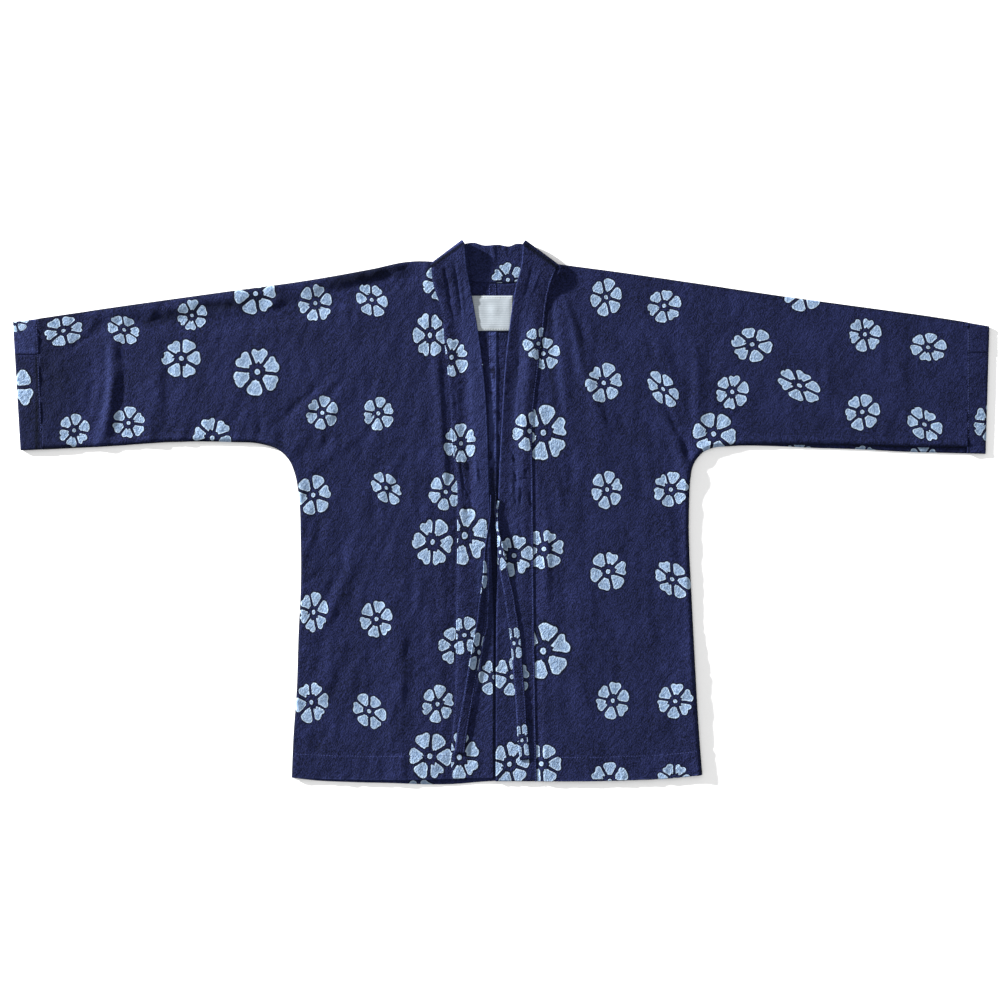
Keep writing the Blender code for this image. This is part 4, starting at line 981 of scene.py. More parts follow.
    # dye takes unevenly in the petals, and their edges stay palest
    blot = add(noise, {"Vector": spot, "Scale": 260.0, "Detail": 3.0, "Roughness": 0.7})
    blot = add(ramp, (blot, 0.36, 0.64))
    blot = weighed((blot, 0.6), (weave, 0.4))
    pale = add(mix, {0: blot, 6: hexColour(dye["petalDeep"]), 7: hexColour(dye["petal"])}, **colours)
    rim = add(maths, (rim, 0.70), operation="MULTIPLY")
    pale = add(mix, {0: rim, 6: pale, 7: hexColour(dye["petalRim"])}, **colours)
    tree.links.new(add(mix, {0: mask, 6: navy, 7: pale}, **colours), shader.inputs["Base Color"])

    # small puckers gathered across each seam, nubbly threads, and the softer cockle of washed cloth
    often = 1000 / dye["pucker"]
    seam = add(mapping, {0: add(uvMap, uv_map="seam"), 3: (often, 1000 / (3 * dye["pucker"]), 1.0)})
    pucker = add(noise, {"Vector": seam, "Scale": 1.0, "Detail": 2.5, "Distortion": 0.6},
                 noise_dimensions="2D")
    pucker = add(maths, (add(maths, (pucker, 0.5), operation="SUBTRACT"), pull), operation="MULTIPLY")
    cockle = add(noise, {"Vector": spot, "Scale": 85.0, "Detail": 2.0})
    # soft drag lines left by wearing and drying
    drawn = (dye["dragLength"] * mm, dye["dragWidth"] * mm, 0.05)
    slant = add(mapping, {0: spot, 2: (0.0, 0.0, math.radians(dye["dragTurn"])), 3: drawn},
                vector_type="TEXTURE")
    drag = add(noise, {"Vector": slant, "Scale": 1.0, "Detail": 1.5})
    relief = weighed((weave, 0.50), (cockle, 0.55), (drag, 1.0), (pucker, 2.0))
    bump = add("ShaderNodeBump", {"Strength": 1.0, "Distance": 0.0011, "Height": relief})
    tree.links.new(bump, shader.inputs["Normal"])
    return made


def labelTape(name):
    # Bleached cotton tape, woven in fine cross ribs and left plain: an even warm white with faint ribs.
    made, tree, shader = newMaterial(name, 0.8, 0.2)
    spot = node(tree, "ShaderNodeTexCoord", pick="Object")
    ribbed = node(tree, "ShaderNodeTexWave", {"Vector": spot, "Scale": 1000 / 1.6 / 6.283, "Distortion": 0.8,
                  "Detail": 1.0, "Detail Scale": 40.0}, 1, bands_direction="Y")
    speck = node(tree, "ShaderNodeTexNoise", {"Vector": spot, "Scale": 260.0, "Detail": 3.0})
    mixed = node(tree, "ShaderNodeMath", (ribbed, speck), operation="MULTIPLY")
    tone = node(tree, "ShaderNodeMix", {0: mixed, 6: hexColour("#80878D"), 7: hexColour("#969DA3")}, 2,
                data_type="RGBA")
    tree.links.new(tone, shader.inputs["Base Color"])
    bump = node(tree, "ShaderNodeBump", {"Strength": 0.5, "Distance": 0.0003, "Height": mixed})
    tree.links.new(bump, shader.inputs["Normal"])
    return made


def spunThread(name, low, high):
    # Three-ply spun sewing thread: soft, with a faint twist that reads as light and dark specks.
    made, tree, shader = newMaterial(name, 0.7, 0.2)
    spot = node(tree, "ShaderNodeTexCoord", pick="Object")
    twist = node(tree, "ShaderNodeTexNoise", {"Vector": spot, "Scale": 900.0, "Detail": 2.0})
    tone = node(tree, "ShaderNodeMix", {0: twist, 6: hexColour(low), 7: hexColour(high)}, 2, data_type="RGBA")
    tree.links.new(tone, shader.inputs["Base Color"])
    return made


cotton = printedCotton("Resist printed indigo cotton")
tape = labelTape("Bleached cotton tape")
indigoThread = spunThread("Indigo spun thread", "#242B54", "#3C467A")
whiteThread = spunThread("White spun thread", "#96968E", "#B4B4AC")
print("materials made")


# fronts
def frontGrids(side):
    top, under = path(sleeveTop[side]), path(underarmFront(side))
    # the seam edge runs a little under the band
    low, more, start, over = cloth["tuck"]
    inward = low + more * softStep((frontSeam[side]["y"] - start) / over)
    tucked = {"x": frontSeam[side]["x"] - inward * outward[side], "y": frontSeam[side]["y"]}
    seam, hem = path(tucked), path(frontHem[side])
    shoulderAt, armpitAt, waistAt = cloth["split"][side]
    shoulder, armpit, waist = top(shoulderAt)[0], under(armpitAt)[0], seam(waistAt)[0]
    split, level = straight(armpit, shoulder), straight(armpit, waist)
    sideSeam, bandLine = stretch(under, 1.0, armpitAt), stretch(seam, 0.0, waistAt)
    sleeveLine = stretch(top, 0.0, shoulderAt)
    step = cloth["step"]
    across = shares(length(level), step, (length(level), 16.0, 1.2), (0.0, 6.0, 1.5))
    sleeve = shares(length(sleeveLine), step, (0.0, 10.0, 1.5))
    along = shares(length(split), step, (0.0, 6.0, 1.5), (length(split), 10.0, 1.8))
    down = shares(length(sideSeam), step, (34.5, 7.0, 0.9), (0.0, 4.0, 1.2))
    cuffSeam = straight(under(0.0)[0], top(0.0)[0])
    flat = [patch(stretch(under, 0.0, armpitAt), sleeveLine, cuffSeam, split, sleeve, along),
            patch(level, stretch(top, shoulderAt, 1.0), split, stretch(seam, waistAt, 1.0), across, along),
            patch(hem, level, sideSeam, bandLine, across, down)]
    made = []
    for grid in flat:
        z = frontHeight(side, grid[..., 0].ravel(), grid[..., 1].ravel())
        made.append((np.dstack([grid, z.reshape(grid.shape[:2])]), "front" + side.title()))
    return made


def frontMarks(side):
    def marks(x, y):
        hem = distance(x, y, path(frontHem[side]))
        seam = distance(x, y, path(frontSeam[side]))
        rim = np.minimum(distance(x, y, path(sleeveTop[side])), distance(x, y, path(underarmFront(side))))
        gather, beside = cloth["gather"], cloth["topstitch"]
        along, away, pull = strongest((x, hem - hemming["line"], *gather["hem"]),
                                      (y, np.abs(x) - cloth["sleeveEnd"], *gather["cuff"]),
                                      (y, seam - beside, *gather["collar"]),
                                      (x + y, rim - beside, *gather["edge"]))
        # folded edges rub pale at the hem; painted shade darkens the cloth down the sides and where the left
        # sleeve ends
        wearAndPaintedLight = bell(hem, *cloth["wearAndPaintedLight"]["hem"]) + bell(rim, *cloth["wearAndPaintedLight"]["edge"])
        if side == "left":
            start, over, darker = cloth["paintedShadeLeftEnd"]
            wearAndPaintedLight -= darker * softStep((-x - start) / over)
        # painted highlight and painted shade along some folds
        wearAndPaintedLight += folded(x, y, paintedFoldLight[side])
        return along, away, pull, wearAndPaintedLight
    return marks


for side in outward:
    name = "front" + side.title()
    addPiece(name, gridMesh(name, frontGrids(side), frontMarks(side)), cotton,
                            ["front_" + side], wall=cloth["wall"])


# backs
backs = {
    "edge": {"left": 0.15, "right": 2.5},      # how far left of the centre-back line each half ends
    "felled": 11.0,          # width and height of the felled centre-back seam
    "felledRise": 1.1,
    "felledTop": 258.0,      # where it flattens out, under the label
    "felledStitches": (1.4, 1.0),     # how far its two rows of stitches run from the edge and from the fold
    "swell": (0.15, 0.85, 0.25),      # share of its height under the label, what is added below, unevenness
    "uneven": 0.10,
    "gather": {"middle": (0.9, 12.0), "hem": (0.8, 14.0), "cuff": (0.6, 12.0)},
    # painted highlight on the felled strip, which faces the light between the fronts: distance left of the
    # centre-back line, width and strength; then the same three for the rubbed pale line along its edge
    "strip": (5.5, 5.0, 1.6),
    "edgeWear": (0.8, 1.1, 1.2),
    "hemWear": (2.0, 0.6),
    "deep": (9.0, 9.0, 0.55),         # painted shade on the cloth deep in the opening: distance left of X = 0, width, depth
}


def backGrids(side):
    sign = outward[side]
    mid = cloth["centreBack"] - backs["edge"][side]
    top, under = path(sleeveTop[side]), path(underarm[side])
    hemLine = path(backHem)(np.linspace(0, 1, 120))
    neck = path(neckLine)(np.linspace(0, 1, 80)) + (0.0, 2.0)
    hemHalf = hemLine[(hemLine[:, 0] - mid) * sign > 1.0][::-sign]
    neckHalf = neck[(neck[:, 0] - mid) * sign > 1.0][::-sign]
    hemEnd = np.array([mid, np.interp(mid, hemLine[:, 0], hemLine[:, 1])])
    neckEnd = np.array([mid, np.interp(mid, neck[:, 0], neck[:, 1])])
    shoulderAt, armpitAt, _ = cloth["split"][side]
    shoulder, armpit = top(shoulderAt)[0], under(armpitAt)[0]
    overTop = np.vstack([stretch(top, shoulderAt, 1.0)(np.linspace(0, 1, 20)), neckHalf[1:], neckEnd])
    overHem = np.vstack([hemHalf, hemEnd])
    topLine = path({"x": overTop[:, 0], "y": overTop[:, 1]})
    hem = path({"x": overHem[:, 0], "y": overHem[:, 1]})
    waist = np.array([mid, armpit[1] - 20.0])
    split, level = straight(armpit, shoulder), straight(armpit, waist)
    sleeveLine, sideSeam = stretch(top, 0.0, shoulderAt), stretch(under, armpitAt, 1.0)
    step = cloth["backStep"]
    across = shares(length(level), step, (length(level), 17.0, 1.2))
    along = shares(length(split), step)
    sleeve = shares(length(sleeveLine), step)
    down = shares(length(sideSeam), step, (hemming["line"], 5.0, 1.5))
    cuffSeam = straight(under(0.0)[0], top(0.0)[0])
    flat = [patch(stretch(under, 0.0, armpitAt), sleeveLine, cuffSeam, split, sleeve, along),
            patch(level, topLine, split, straight(waist, neckEnd), across, along),
            patch(hem, level, stretch(under, 1.0, armpitAt), straight(hemEnd, waist), across, down)]
    made = []
    for grid in flat:
        x, y = grid[..., 0], grid[..., 1]
        z = np.full_like(x, cloth["backZ"])
        if side == "left":
            # the felled strip swells towards the seam and drops there
            into = np.clip((x - (mid - backs["felled"])) / backs["felled"], 0, 1)
            hidden, more, uneven = backs["swell"]
            swell = hidden + more * softStep((backs["felledTop"] - y) / 10.0)
            swell = swell * (0.85 + uneven * ripple(x * 0.1, y, 9, 30, 41))
            z = z + backs["felledRise"] * into * (1.6 - 0.6 * into) * swell
        z = z + backs["uneven"] * softStep(np.abs(x - mid) / 20) * (1 + ripple(x, y, 20, 60, 42)) / 2
        made.append((np.dstack([grid, z]), "back" + side.title()))
    return made


def backMarks(x, y):
    fromCentre = np.abs(x - cloth["centreBack"] + 1.0)
    hem = distance(x, y, path(backHem))
    gather = backs["gather"]
    along, away, pull = strongest((y, fromCentre - 3.0, *gather["middle"]),
                                  (x, hem - hemming["line"], *gather["hem"]),
                                  (y, np.abs(x) - cloth["sleeveEnd"], *gather["cuff"]))
    shown = softStep((y - 20.0) / 80.0) * softStep((backs["felledTop"] - y) / 6.0)
    # a painted highlight on the felled strip where it shows between the fronts, and lower down painted shade on
    # the cloth deep in the opening
    strip, width, pale = backs["strip"]
    wearAndPaintedLight = bell(x - cloth["centreBack"] + strip, width, pale) * shown * (0.7 + 0.9 * ripple(x, y, 8, 30, 43))
    middle, width, paintedDark = backs["deep"]
    wearAndPaintedLight -= bell(x + middle, width, paintedDark) * softStep((110.0 - y) / 90.0) * softStep((y + 250.0) / 60.0)
    strip, width, pale = backs["edgeWear"]
    wearAndPaintedLight += bell(hem, *backs["hemWear"]) + bell(x - cloth["centreBack"] + strip, width, pale) * shown
    return along, away, pull, wearAndPaintedLight


for side in outward:
    name = "back" + side.title()
    addPiece(name, gridMesh(name, backGrids(side), backMarks), cotton, ["back_" + side],
                            wall=cloth["wall"])
print("backs made")


# collar band
def bandGrids():
    t = np.concatenate([[0.0, 0.02, 0.045], np.linspace(0.07, 0.94, band["across"] - 6), [0.96, 0.98, 1.0]])
    inset = band["half"]
    under = band["backSeamZ"] + (band["backEdgeZ"] - band["backSeamZ"]) * t

    def spread(seam, edge, share):
        # rows of points across the band, between two lines
        seam, edge = path(seam)(share), path(edge)(share)
        way = unit(edge - seam)
        seam, edge = seam + way * inset * 0.6, edge - way * inset
        return seam[:, None] + (edge - seam)[:, None] * t[None, :, None]

    def front(side):
        share = shares(length(path(band["edge"][side])), band["step"])[1:]
        flat = spread(band["seam"][side], band["edge"][side], share)
        heights = bandRow(side, share)
        z = np.stack([bandAcross(side, heights, np.full(len(share), s)) for s in t], axis=1)
        raised = bandDetail(side, flat[..., 0].ravel(), flat[..., 1].ravel()).reshape(z.shape)
        raised = raised * softStep(share / 0.03)[:, None]
        return np.dstack([flat, z]), raised

    def turn(side):
        start, end = (np.array([band[k][side]["x"][0], band[k][side]["y"][0]]) for k in ("seam", "edge"))
        way = (end - start) / np.linalg.norm(end - start)
        out = np.array([-way[1], way[0]]) * -outward[side]
        start, end = start + way * inset * 0.6, end - way * inset
        radius = band["turnSeam"][side] + (band["turnEdge"] - band["turnSeam"][side]) * t
        rows = []
        for angle in np.linspace(0, np.pi, band["turnSteps"] + 1):
            flat = start + (end - start) * t[:, None] + out * (radius * np.sin(angle))[:, None]
            rows.append(np.column_stack([flat, under + radius * (1 - np.cos(angle))]))
        return np.array(rows)

    def back():
        share = shares(length(path(band["backSeam"])), band["step"])[1:-1]
        flat = spread(band["backSeam"], band["backEdge"], share)
        raised = folded(flat[..., 0].ravel(), flat[..., 1].ravel(), band["creases"]["back"])
        raised = raised.reshape(flat.shape[:2])
        # the lining side is what faces up here, so its folds bend the whole layer
        return np.dstack([flat, under + np.abs(raised)])

    left, leftRaised = front("left")
    right, rightRaised = front("right")
    middle, leftTurn, rightTurn = back(), turn("left"), turn("right")
    whole = np.concatenate([left[::-1], leftTurn[::-1], middle, rightTurn, right])
    plain = np.zeros((len(leftTurn) + len(middle) + len(rightTurn), len(t)))
    closed = tube(whole, band["half"], np.concatenate([leftRaised[::-1], plain, rightRaised]))
    first = len(left) + band["turnSteps"] // 2
    second = len(left) + len(leftTurn) + len(middle) + band["turnSteps"] // 2
    return [(closed[:first + 1], "bandLeft"), (closed[first:second + 1], "bandBack"),
            (closed[second:], "bandRight")]


def bandMarks(x, y):
    along, away, pull, wearAndPaintedLight = (np.zeros_like(x) for _ in range(4))
    back = distance(x, y, path(band["backSeam"]))
    rubbedAndPaintedLight, beside = band["wearAndPaintedLight"], cloth["topstitch"]
    high, strip = (np.interp(y, band[k]["x"], band[k]["y"]) for k in ("seamPull", "paintedHighlightStrip"))
    for side, mine in (("left", x < cloth["centreBack"]), ("right", x >= cloth["centreBack"])):
        t, _, fromSeam = bandPlace(side, x, y)
        ends = [np.array([band[k][side]["x"][0], band[k][side]["y"][0]]) for k in ("seam", "edge")]
        fold = distance(x, y, straight(*ends))
        edge = np.abs(x - np.interp(-y, -band["edge"][side]["y"], band["edge"][side]["x"]))
        a, w, p = strongest((y + 0.7 * fromSeam * -outward[side], fromSeam - 3.0, high, band["seamReach"]),
                            (y, edge - beside, *band["gather"]["edge"]),
                            (x, back - beside, *band["gather"]["back"]))
        along[mine], away[mine], pull[mine] = a[mine], w[mine], p[mine]
        width, rim = rubbedAndPaintedLight["rim"]
        if side == "left":
            across = softStep((t - 0.45) / 0.15)
            # the painted highlight on the left free edge stops low down, where its tie shades it, and lower
            # still the edge gets painted shade
            rim = rim * softStep((y + 40.0) / 50.0) - 0.3 * softStep((-60.0 - y) / 40.0)
            rim = rim - 0.7 * softStep((-210.0 - y) / 50.0)
        else:
            across = 0.45 * softStep((t - 0.25) / 0.1) * softStep((0.75 - t) / 0.1)
        # a painted highlight on the strip that faces the light and on the free edge, paler cloth by the seam,
        # then painted shade along the shoulder fold
        wornAndPaintedLight = 0.65 * across * strip + rim * bell(edge, width) + bell(fromSeam - 1.6, *rubbedAndPaintedLight["seam"])
        wornAndPaintedLight = np.minimum(wornAndPaintedLight, rubbedAndPaintedLight["most"]) - rubbedAndPaintedLight["fold"] * softStep((3.4 - fold) / 2.6) * (y > 320.0)
        wearAndPaintedLight[mine] = wornAndPaintedLight[mine]
    return along, away, pull, wearAndPaintedLight


collarBand = addPiece("collarBand", gridMesh("collarBand", bandGrids(), bandMarks, closed=True, caps=True),
                      cotton, ["collar"])
print("collar band made:", len(collarBand.data.polygons))


# cuffs
cuff = {
    "half": 0.6,
    "width": 32.0,        # from the seam to the mouth
    "length": 180.0,      # along the seam, on one side
    "under": 1.0,         # how far the seam end runs under the sleeve
    "floor": 0.02,        # how far the lower layer is off the surface
    "open": {"left": ((-682.8, 266.2), (-672.3, 86.3)), "right": ((682.8, 260.1), (677.6, 81.6))},
    "flare": {"left": -1.0, "right": -1.4},        # how much higher the mouth stands than the seam: it droops
    "swell": (0.3, 0.6),                           # height and fullness of the upper layer's crown
    "lap": {"left": 0.4, "right": 0.3},            # height of the lapped join
    "joinY": {"left": 221.0, "right": 224.0},      # where the turned strip is joined to itself
    "joinCuts": (-2.2, -1.4, -0.8, -0.4, 0.0, 0.4, 0.9),      # finer mesh across the join
    # how strong the painted shade along the join is
    "joinDark": {"left": 1.0, "right": 0.3},
    # grooves: width and depth where the cuff is sewn on, along its topstitching and at the join
    "sewn": (2.5, 0.35),
    "groove": (1.6, 0.30),
    "joinGroove": (1.2, 0.4),
    "stitches": 3.0,      # the topstitching's distance from the seam
    # the mouth's fold is drawn down: from which share of the width, how soon, how far
    "mouth": (0.90, 0.10, 0.7),
    "gather": {"seam": (0.55, 7.0), "join": (0.4, 5.0)},
    # painted shade along the mouth, the join and the seam: width and strength
    "wearAndPaintedLight": {"mouth": (2.0, -0.7), "join": 1.3, "seam": (1.6, 0.9)},
    "rings": 14,
    "around": 84,
}


def cuffGrid(side):
    # the cuff starts a little under the sleeve end
    seamTop, seamLow = (np.array([line["x"][0], line["y"][0]]) + (-outward[side] * cuff["under"], 0)
                        for line in (sleeveTop[side], underarm[side]))
    openTop, openLow = (np.array(p) for p in cuff["open"][side])
    floor = cuff["half"] + cuff["floor"]
    endZ = cloth["frontZ"] + cloth["loft"] + cloth["sleeveLift"][side][0]
    joinY = cuff["joinY"][side]
    crown, fullness = cuff["swell"]
    mouth, soon, drawn = cuff["mouth"]
    rings = []
    for share in np.linspace(0, 1, cuff["rings"] + 1):
        topZ = endZ + cuff["flare"][side] * share
        radius = (topZ - floor) / 2
        inset = radius + cuff["half"]
        high = seamTop + (openTop - seamTop) * share
        low = seamLow + (openLow - seamLow) * share
        way = (low - high) / np.linalg.norm(low - high)
        high, low = high + way * inset, low - way * inset
        join = (high[1] - joinY) / (high[1] - low[1])
        finer = join + np.array(cuff["joinCuts"]) / cuff["length"]
        around = np.sort(np.concatenate([np.linspace(0, 1, cuff["around"] + 1), finer]))
        spot = high + (low - high) * around[:, None]
        y = spot[:, 1]
        fromSeam = share * cuff["width"]
        lift = crown * np.sin(np.pi * around) ** fullness - bell(fromSeam, *cuff["sewn"])
        lift = lift - bell(fromSeam - cuff["stitches"], *cuff["groove"])
        lift += 0.30 * ripple(np.full_like(y, fromSeam * 0.5), y, 8, 26, 51) * bell(fromSeam - 4, 15)
        # the upper end of the strip laps over the lower one
        lift += cuff["lap"][side] * softStep((y - joinY) / 0.8 + 0.5) * bell(y - joinY, 60.0)
        lift -= bell(y - joinY + 1.0, *cuff["joinGroove"])
        fromFold = np.minimum(around, 1 - around)
        lift *= softStep(fromFold / 0.03)
        # the opening's edge is a fold, drawn down to the layer under it
        lift -= drawn * softStep((share - mouth) / soon) * softStep(fromFold / 0.04)
        ring = [(*p, topZ + l) for p, l in zip(spot, lift)]
        turn = np.linspace(0, np.pi, 7)[1:-1]
        ring += [(*(low + way * radius * np.sin(a)), floor + radius * (1 + np.cos(a))) for a in turn]
        ring += [(*(high + (low - high) * s), floor) for s in np.linspace(1, 0, cuff["around"] // 3 + 1)]
        ring += [(*(high - way * radius * np.sin(a)), floor + radius * (1 - np.cos(a))) for a in turn]
        rings.append(ring + ring[:1])
    return np.array(rings)


def cuffMarks(side):
    def marks(x, y):
        fromSeam = np.abs(x) - np.abs(sleeveTop[side]["x"][0])
        join = np.abs(y - cuff["joinY"][side])
        gather, paintedDark = cuff["gather"], cuff["wearAndPaintedLight"]
        along, away, pull = strongest((y, fromSeam - cuff["stitches"], *gather["seam"]),
                                      (x, join, *gather["join"]))
        lower = softStep((cuff["joinY"][side] - y) / 4)
        # painted shade along the mouth, the join and the seam
        wearAndPaintedLight = bell(fromSeam - cuff["width"], *paintedDark["mouth"])
        wearAndPaintedLight -= bell(join, paintedDark["join"], cuff["joinDark"][side])
        wearAndPaintedLight -= bell(fromSeam - 1.0, *paintedDark["seam"])
        if side == "left":
            # painted light: the upper part, facing the light, is painted paler than the part below the join,
            # which gets painted shade that deepens downwards
            wearAndPaintedLight += (0.55 + 0.25 * ripple(x, y * 0.4, 6, 16, 52)) * (1 - lower) - 0.25 * lower
            wearAndPaintedLight -= 0.2 * softStep((170.0 - y) / 60.0)
        return along, away, pull, wearAndPaintedLight
    return marks


for side in outward:
    name = "cuff" + side.title()
    addPiece(name, gridMesh(name, [(cuffGrid(side), name)], cuffMarks(side), closed=True),
                            cotton, ["cuff_" + side], wall=2 * cuff["half"])
print("cuffs made")


# ties
tie = {
    "half": 0.6,
    "step": 2.5,
    "gap": 0.3,           # least room between a tie and the band
    "across": 11,
    "reach": 4.0,         # how far to each side the band's height is felt
    "groove": (0.72, 0.12, 0.22),     # stitches: share of the way to the edge, width, depth
    "puckers": (0.22, 7, 18, 61),     # height, shortest and longest wave, seed
    "gather": 0.5,
    "paintedLitEdge": (0.2, 1.3, 1.1),      # painted highlight on the left edges, which face the light: place outside the outline, width, strength
    # faint painted shade over the whole tie
    "wearAndPaintedLight": -0.05,
    # the upper ends are folded lengthwise where they are sewn on, then the strips open out
    "left": table("x y lift tilt width",
        (-14.0, 24.0, 0.2, 2.6, 3.6), (-15.2, -11.0, 0.4, 3.2, 4.2), (-18.0, -28.0, 0.5, 3.4, 4.6),
        (-20.8, -46.0, 0.4, 3.2, 4.8), (-21.8, -61.0, 0.3, 3.0, 5.4), (-22.4, -88.0, 0.2, 3.2, 7.0),
        (-23.6, -108.0, 0.1, 3.6, 9.6), (-25.4, -130.0, 0.1, 3.8, 12.8), (-26.8, -151.0, 0.1, 4.0, 14.0),
        (-32.6, -182.0, 0.2, 3.6, 14.0), (-46.5, -263.0, 0.5, 1.5, 14.0), (-54.0, -305.0, 0.4, 0.6, 14.0),
        (-58.6, -337.0, 0.3, 0.2, 14.0)),
    "right": table("x y lift tilt width",
        (-4.0, 16.0, 0.1, -0.2, 3.0), (-6.2, 1.6, 0.1, -0.4, 3.8), (-6.5, -11.0, 0.3, -1.2, 4.3),
        (-5.7, -23.6, 0.5, -2.4, 4.4), (-3.9, -32.0, 0.6, -3.0, 5.2), (-1.6, -46.0, 0.4, -3.0, 8.6),
        (0.2, -61.4, 0.4, -2.2, 9.8), (4.8, -88.0, 0.4, -0.5, 11.8), (9.4, -109.0, 0.3, 0.2, 12.8),
        (13.0, -130.0, 0.2, 0.4, 13.6), (19.9, -179.0, 0.2, 0.4, 14.0), (23.4, -221.0, 0.2, 0.3, 14.0),
        (27.0, -263.0, 0.2, 0.3, 14.0), (30.8, -326.0, 0.2, 0.2, 14.0), (33.0, -346.3, 0.2, 0.1, 14.0)),
}


def bandHeight(side, x, y):
    t, share, _ = bandPlace(side, x, y)
    return bandAcross(side, bandRow(side, share), t)


def tieGrid(side):
    rows = tie[side]
    line = path(rows)
    points = line(shares(length(line), tie["step"]))
    ways = unit(np.gradient(points, axis=0))
    lift, tilt, width = (np.interp(-points[:, 1], -rows["y"], rows[k]) for k in ("lift", "tilt", "width"))
    half = np.maximum(0.5 * np.sqrt(width ** 2 - tilt ** 2) - tie["half"], 0.5)
    t = np.linspace(-1, 1, tie["across"])
    flat = points[:, None] + leftOf(ways)[:, None] * (t[None] * half[:, None])[..., None]
    x, y = flat[..., 0].ravel(), flat[..., 1].ravel()
    under = np.max([bandHeight(side, x + e * tie["reach"], y) for e in (-1, 0, 1)], axis=0)
    under = under.reshape(flat.shape[:2])
    lean = np.where(tilt[:, None] > 0, 1 - t[None], 1 + t[None]) * np.abs(tilt)[:, None] * 0.5
    z = under + band["half"] + tie["half"] + tie["gap"] + lift[:, None] + lean
    # the stitched edge draws the strip into short cross puckers
    height, shortest, longest, seed = tie["puckers"]
    puckers = height * ripple(flat[..., 0] * 0.2, flat[..., 1], shortest, longest, seed)
    puckers = puckers * (0.4 + 0.6 * t[None] ** 2)
    place, wide, depth = tie["groove"]
    groove = bell(np.abs(t) - place, wide, -depth)[None]
    return np.dstack([flat, z]), (puckers + groove) * softStep((width - 5.0) / 6.0)[:, None]


def tieMarks(side):
    def marks(x, y):
        middle, width = (np.interp(-y, -tie[side]["y"], tie[side][k]) for k in ("x", "width"))
        edge = width / 2 - np.abs(x - middle)
        outside, wide, pale = tie["paintedLitEdge"]
        # painted highlight on the left edge, faint painted shade everywhere
        wearAndPaintedLight = bell(edge + outside, wide, pale) * (x < middle) + tie["wearAndPaintedLight"]
        return y, edge - cloth["topstitch"], np.full_like(x, tie["gather"]), wearAndPaintedLight
    return marks


for side in outward:
    name = "tie" + side.title()
    grid, raised = tieGrid(side)
    strip = tube(grid, tie["half"], raised)
    mesh = gridMesh(name, [(strip, name)], tieMarks(side), closed=True, caps=True)
    addPiece(name, mesh, cotton, ["tie_" + side])
print("ties made")


# label
label = {
    "x": -13.5,
    "width": 60.0,
    "height": 49.0,
    "top": 302.8,
    "thick": 0.7,
    "z": 2.1,
    "step": 1.6,
    "stitches": 2.4,      # distance of the stitches from the edge
    "groove": (0.9, 0.25),
    "crown": 0.35,
    "uneven": (0.16, 14, 40, 71),     # height, shortest and longest wave, seed
}


def labelGrid():
    width, height = label["width"], label["height"]
    u, v = shares(width, label["step"])[None, :], shares(height, label["step"])[:, None]
    x = label["x"] + (u - 0.5) * width + 0 * v
    y = label["top"] - height + v * height + 0 * u
    edge = np.minimum(np.minimum(u, 1 - u) * width, np.minimum(v, 1 - v) * height)
    rise, shortest, longest, seed = label["uneven"]
    z = label["z"] + label["crown"] * softStep(edge / 5.0)
    z = z + rise * ripple(x, y, shortest, longest, seed) * softStep(edge / 4.0)
    z -= bell(edge - label["stitches"], *label["groove"])
    return np.dstack([x, y, z])


def labelMarks(x, y):
    return x, y, np.zeros_like(x), np.zeros_like(x)


labelPiece = addPiece("neckLabel", gridMesh("neckLabel", [(labelGrid(), None)], labelMarks), tape, ["label"],
                      wall=label["thick"])
print("label made")


# stitching
sewing = {
    "pitch": 3.6,         # mm from stitch to stitch
    "length": 2.7,
    "thread": 0.5,        # mm thick, drawn a little fuller than the real 0.3 so that it shows
    "seed": 4,
    "above": 0.08,        # mm that a thread's middle lies above the cloth
    "bandSeam": 1.6,      # mm from the neck seam to the band's stitches, which end at this Y
    "bandTop": 332.0,
    "backEnds": (316.0, -372.0),
}


def stitchTree():
    tree = bpy.data.node_groups.new("Stitches along lines", "GeometryNodeTree")
    sockets = (("Lines", "NodeSocketGeometry", None), ("Pitch", "NodeSocketFloat", 0.0036),
               ("Stitch length", "NodeSocketFloat", 0.0027), ("Thread", "NodeSocketFloat", 0.0004),
               ("Seed", "NodeSocketInt", 1), ("Finish", "NodeSocketMaterial", None))
    for name, kind, value in sockets:
        made = tree.interface.new_socket(name, in_out="INPUT", socket_type=kind)
        if value is not None:
            made.default_value = value
    tree.interface.new_socket("Stitches", in_out="OUTPUT", socket_type="NodeSocketGeometry")
    given = node(tree, "NodeGroupInput").node.outputs
    points = node(tree, "GeometryNodeResampleCurve", {"Curve": given["Lines"], "Length": given["Pitch"]},
                  mode="LENGTH")
    bead = node(tree, "GeometryNodeMeshUVSphere", {"Segments": 6, "Rings": 4, "Radius": 0.5})
    turned = node(tree, "FunctionNodeAlignRotationToVector",
                  {"Vector": node(tree, "GeometryNodeInputTangent")}, axis="X")
    chance = node(tree, "FunctionNodeRandomValue", {2: 0.82, 3: 1.12, "Seed": given["Seed"]}, 1,
                  data_type="FLOAT")
    long = node(tree, "ShaderNodeMath", (given["Stitch length"], chance), operation="MULTIPLY")
    size = node(tree, "ShaderNodeCombineXYZ", (long, given["Thread"], given["Thread"]))
    placed = node(tree, "GeometryNodeInstanceOnPoints",
                  {"Points": points, "Instance": bead, "Rotation": turned, "Scale": size})
    real = node(tree, "GeometryNodeRealizeInstances", (placed,))
    dyed = node(tree, "GeometryNodeSetMaterial", {"Geometry": real, "Material": given["Finish"]})
    node(tree, "NodeGroupOutput", (dyed,))
    return tree


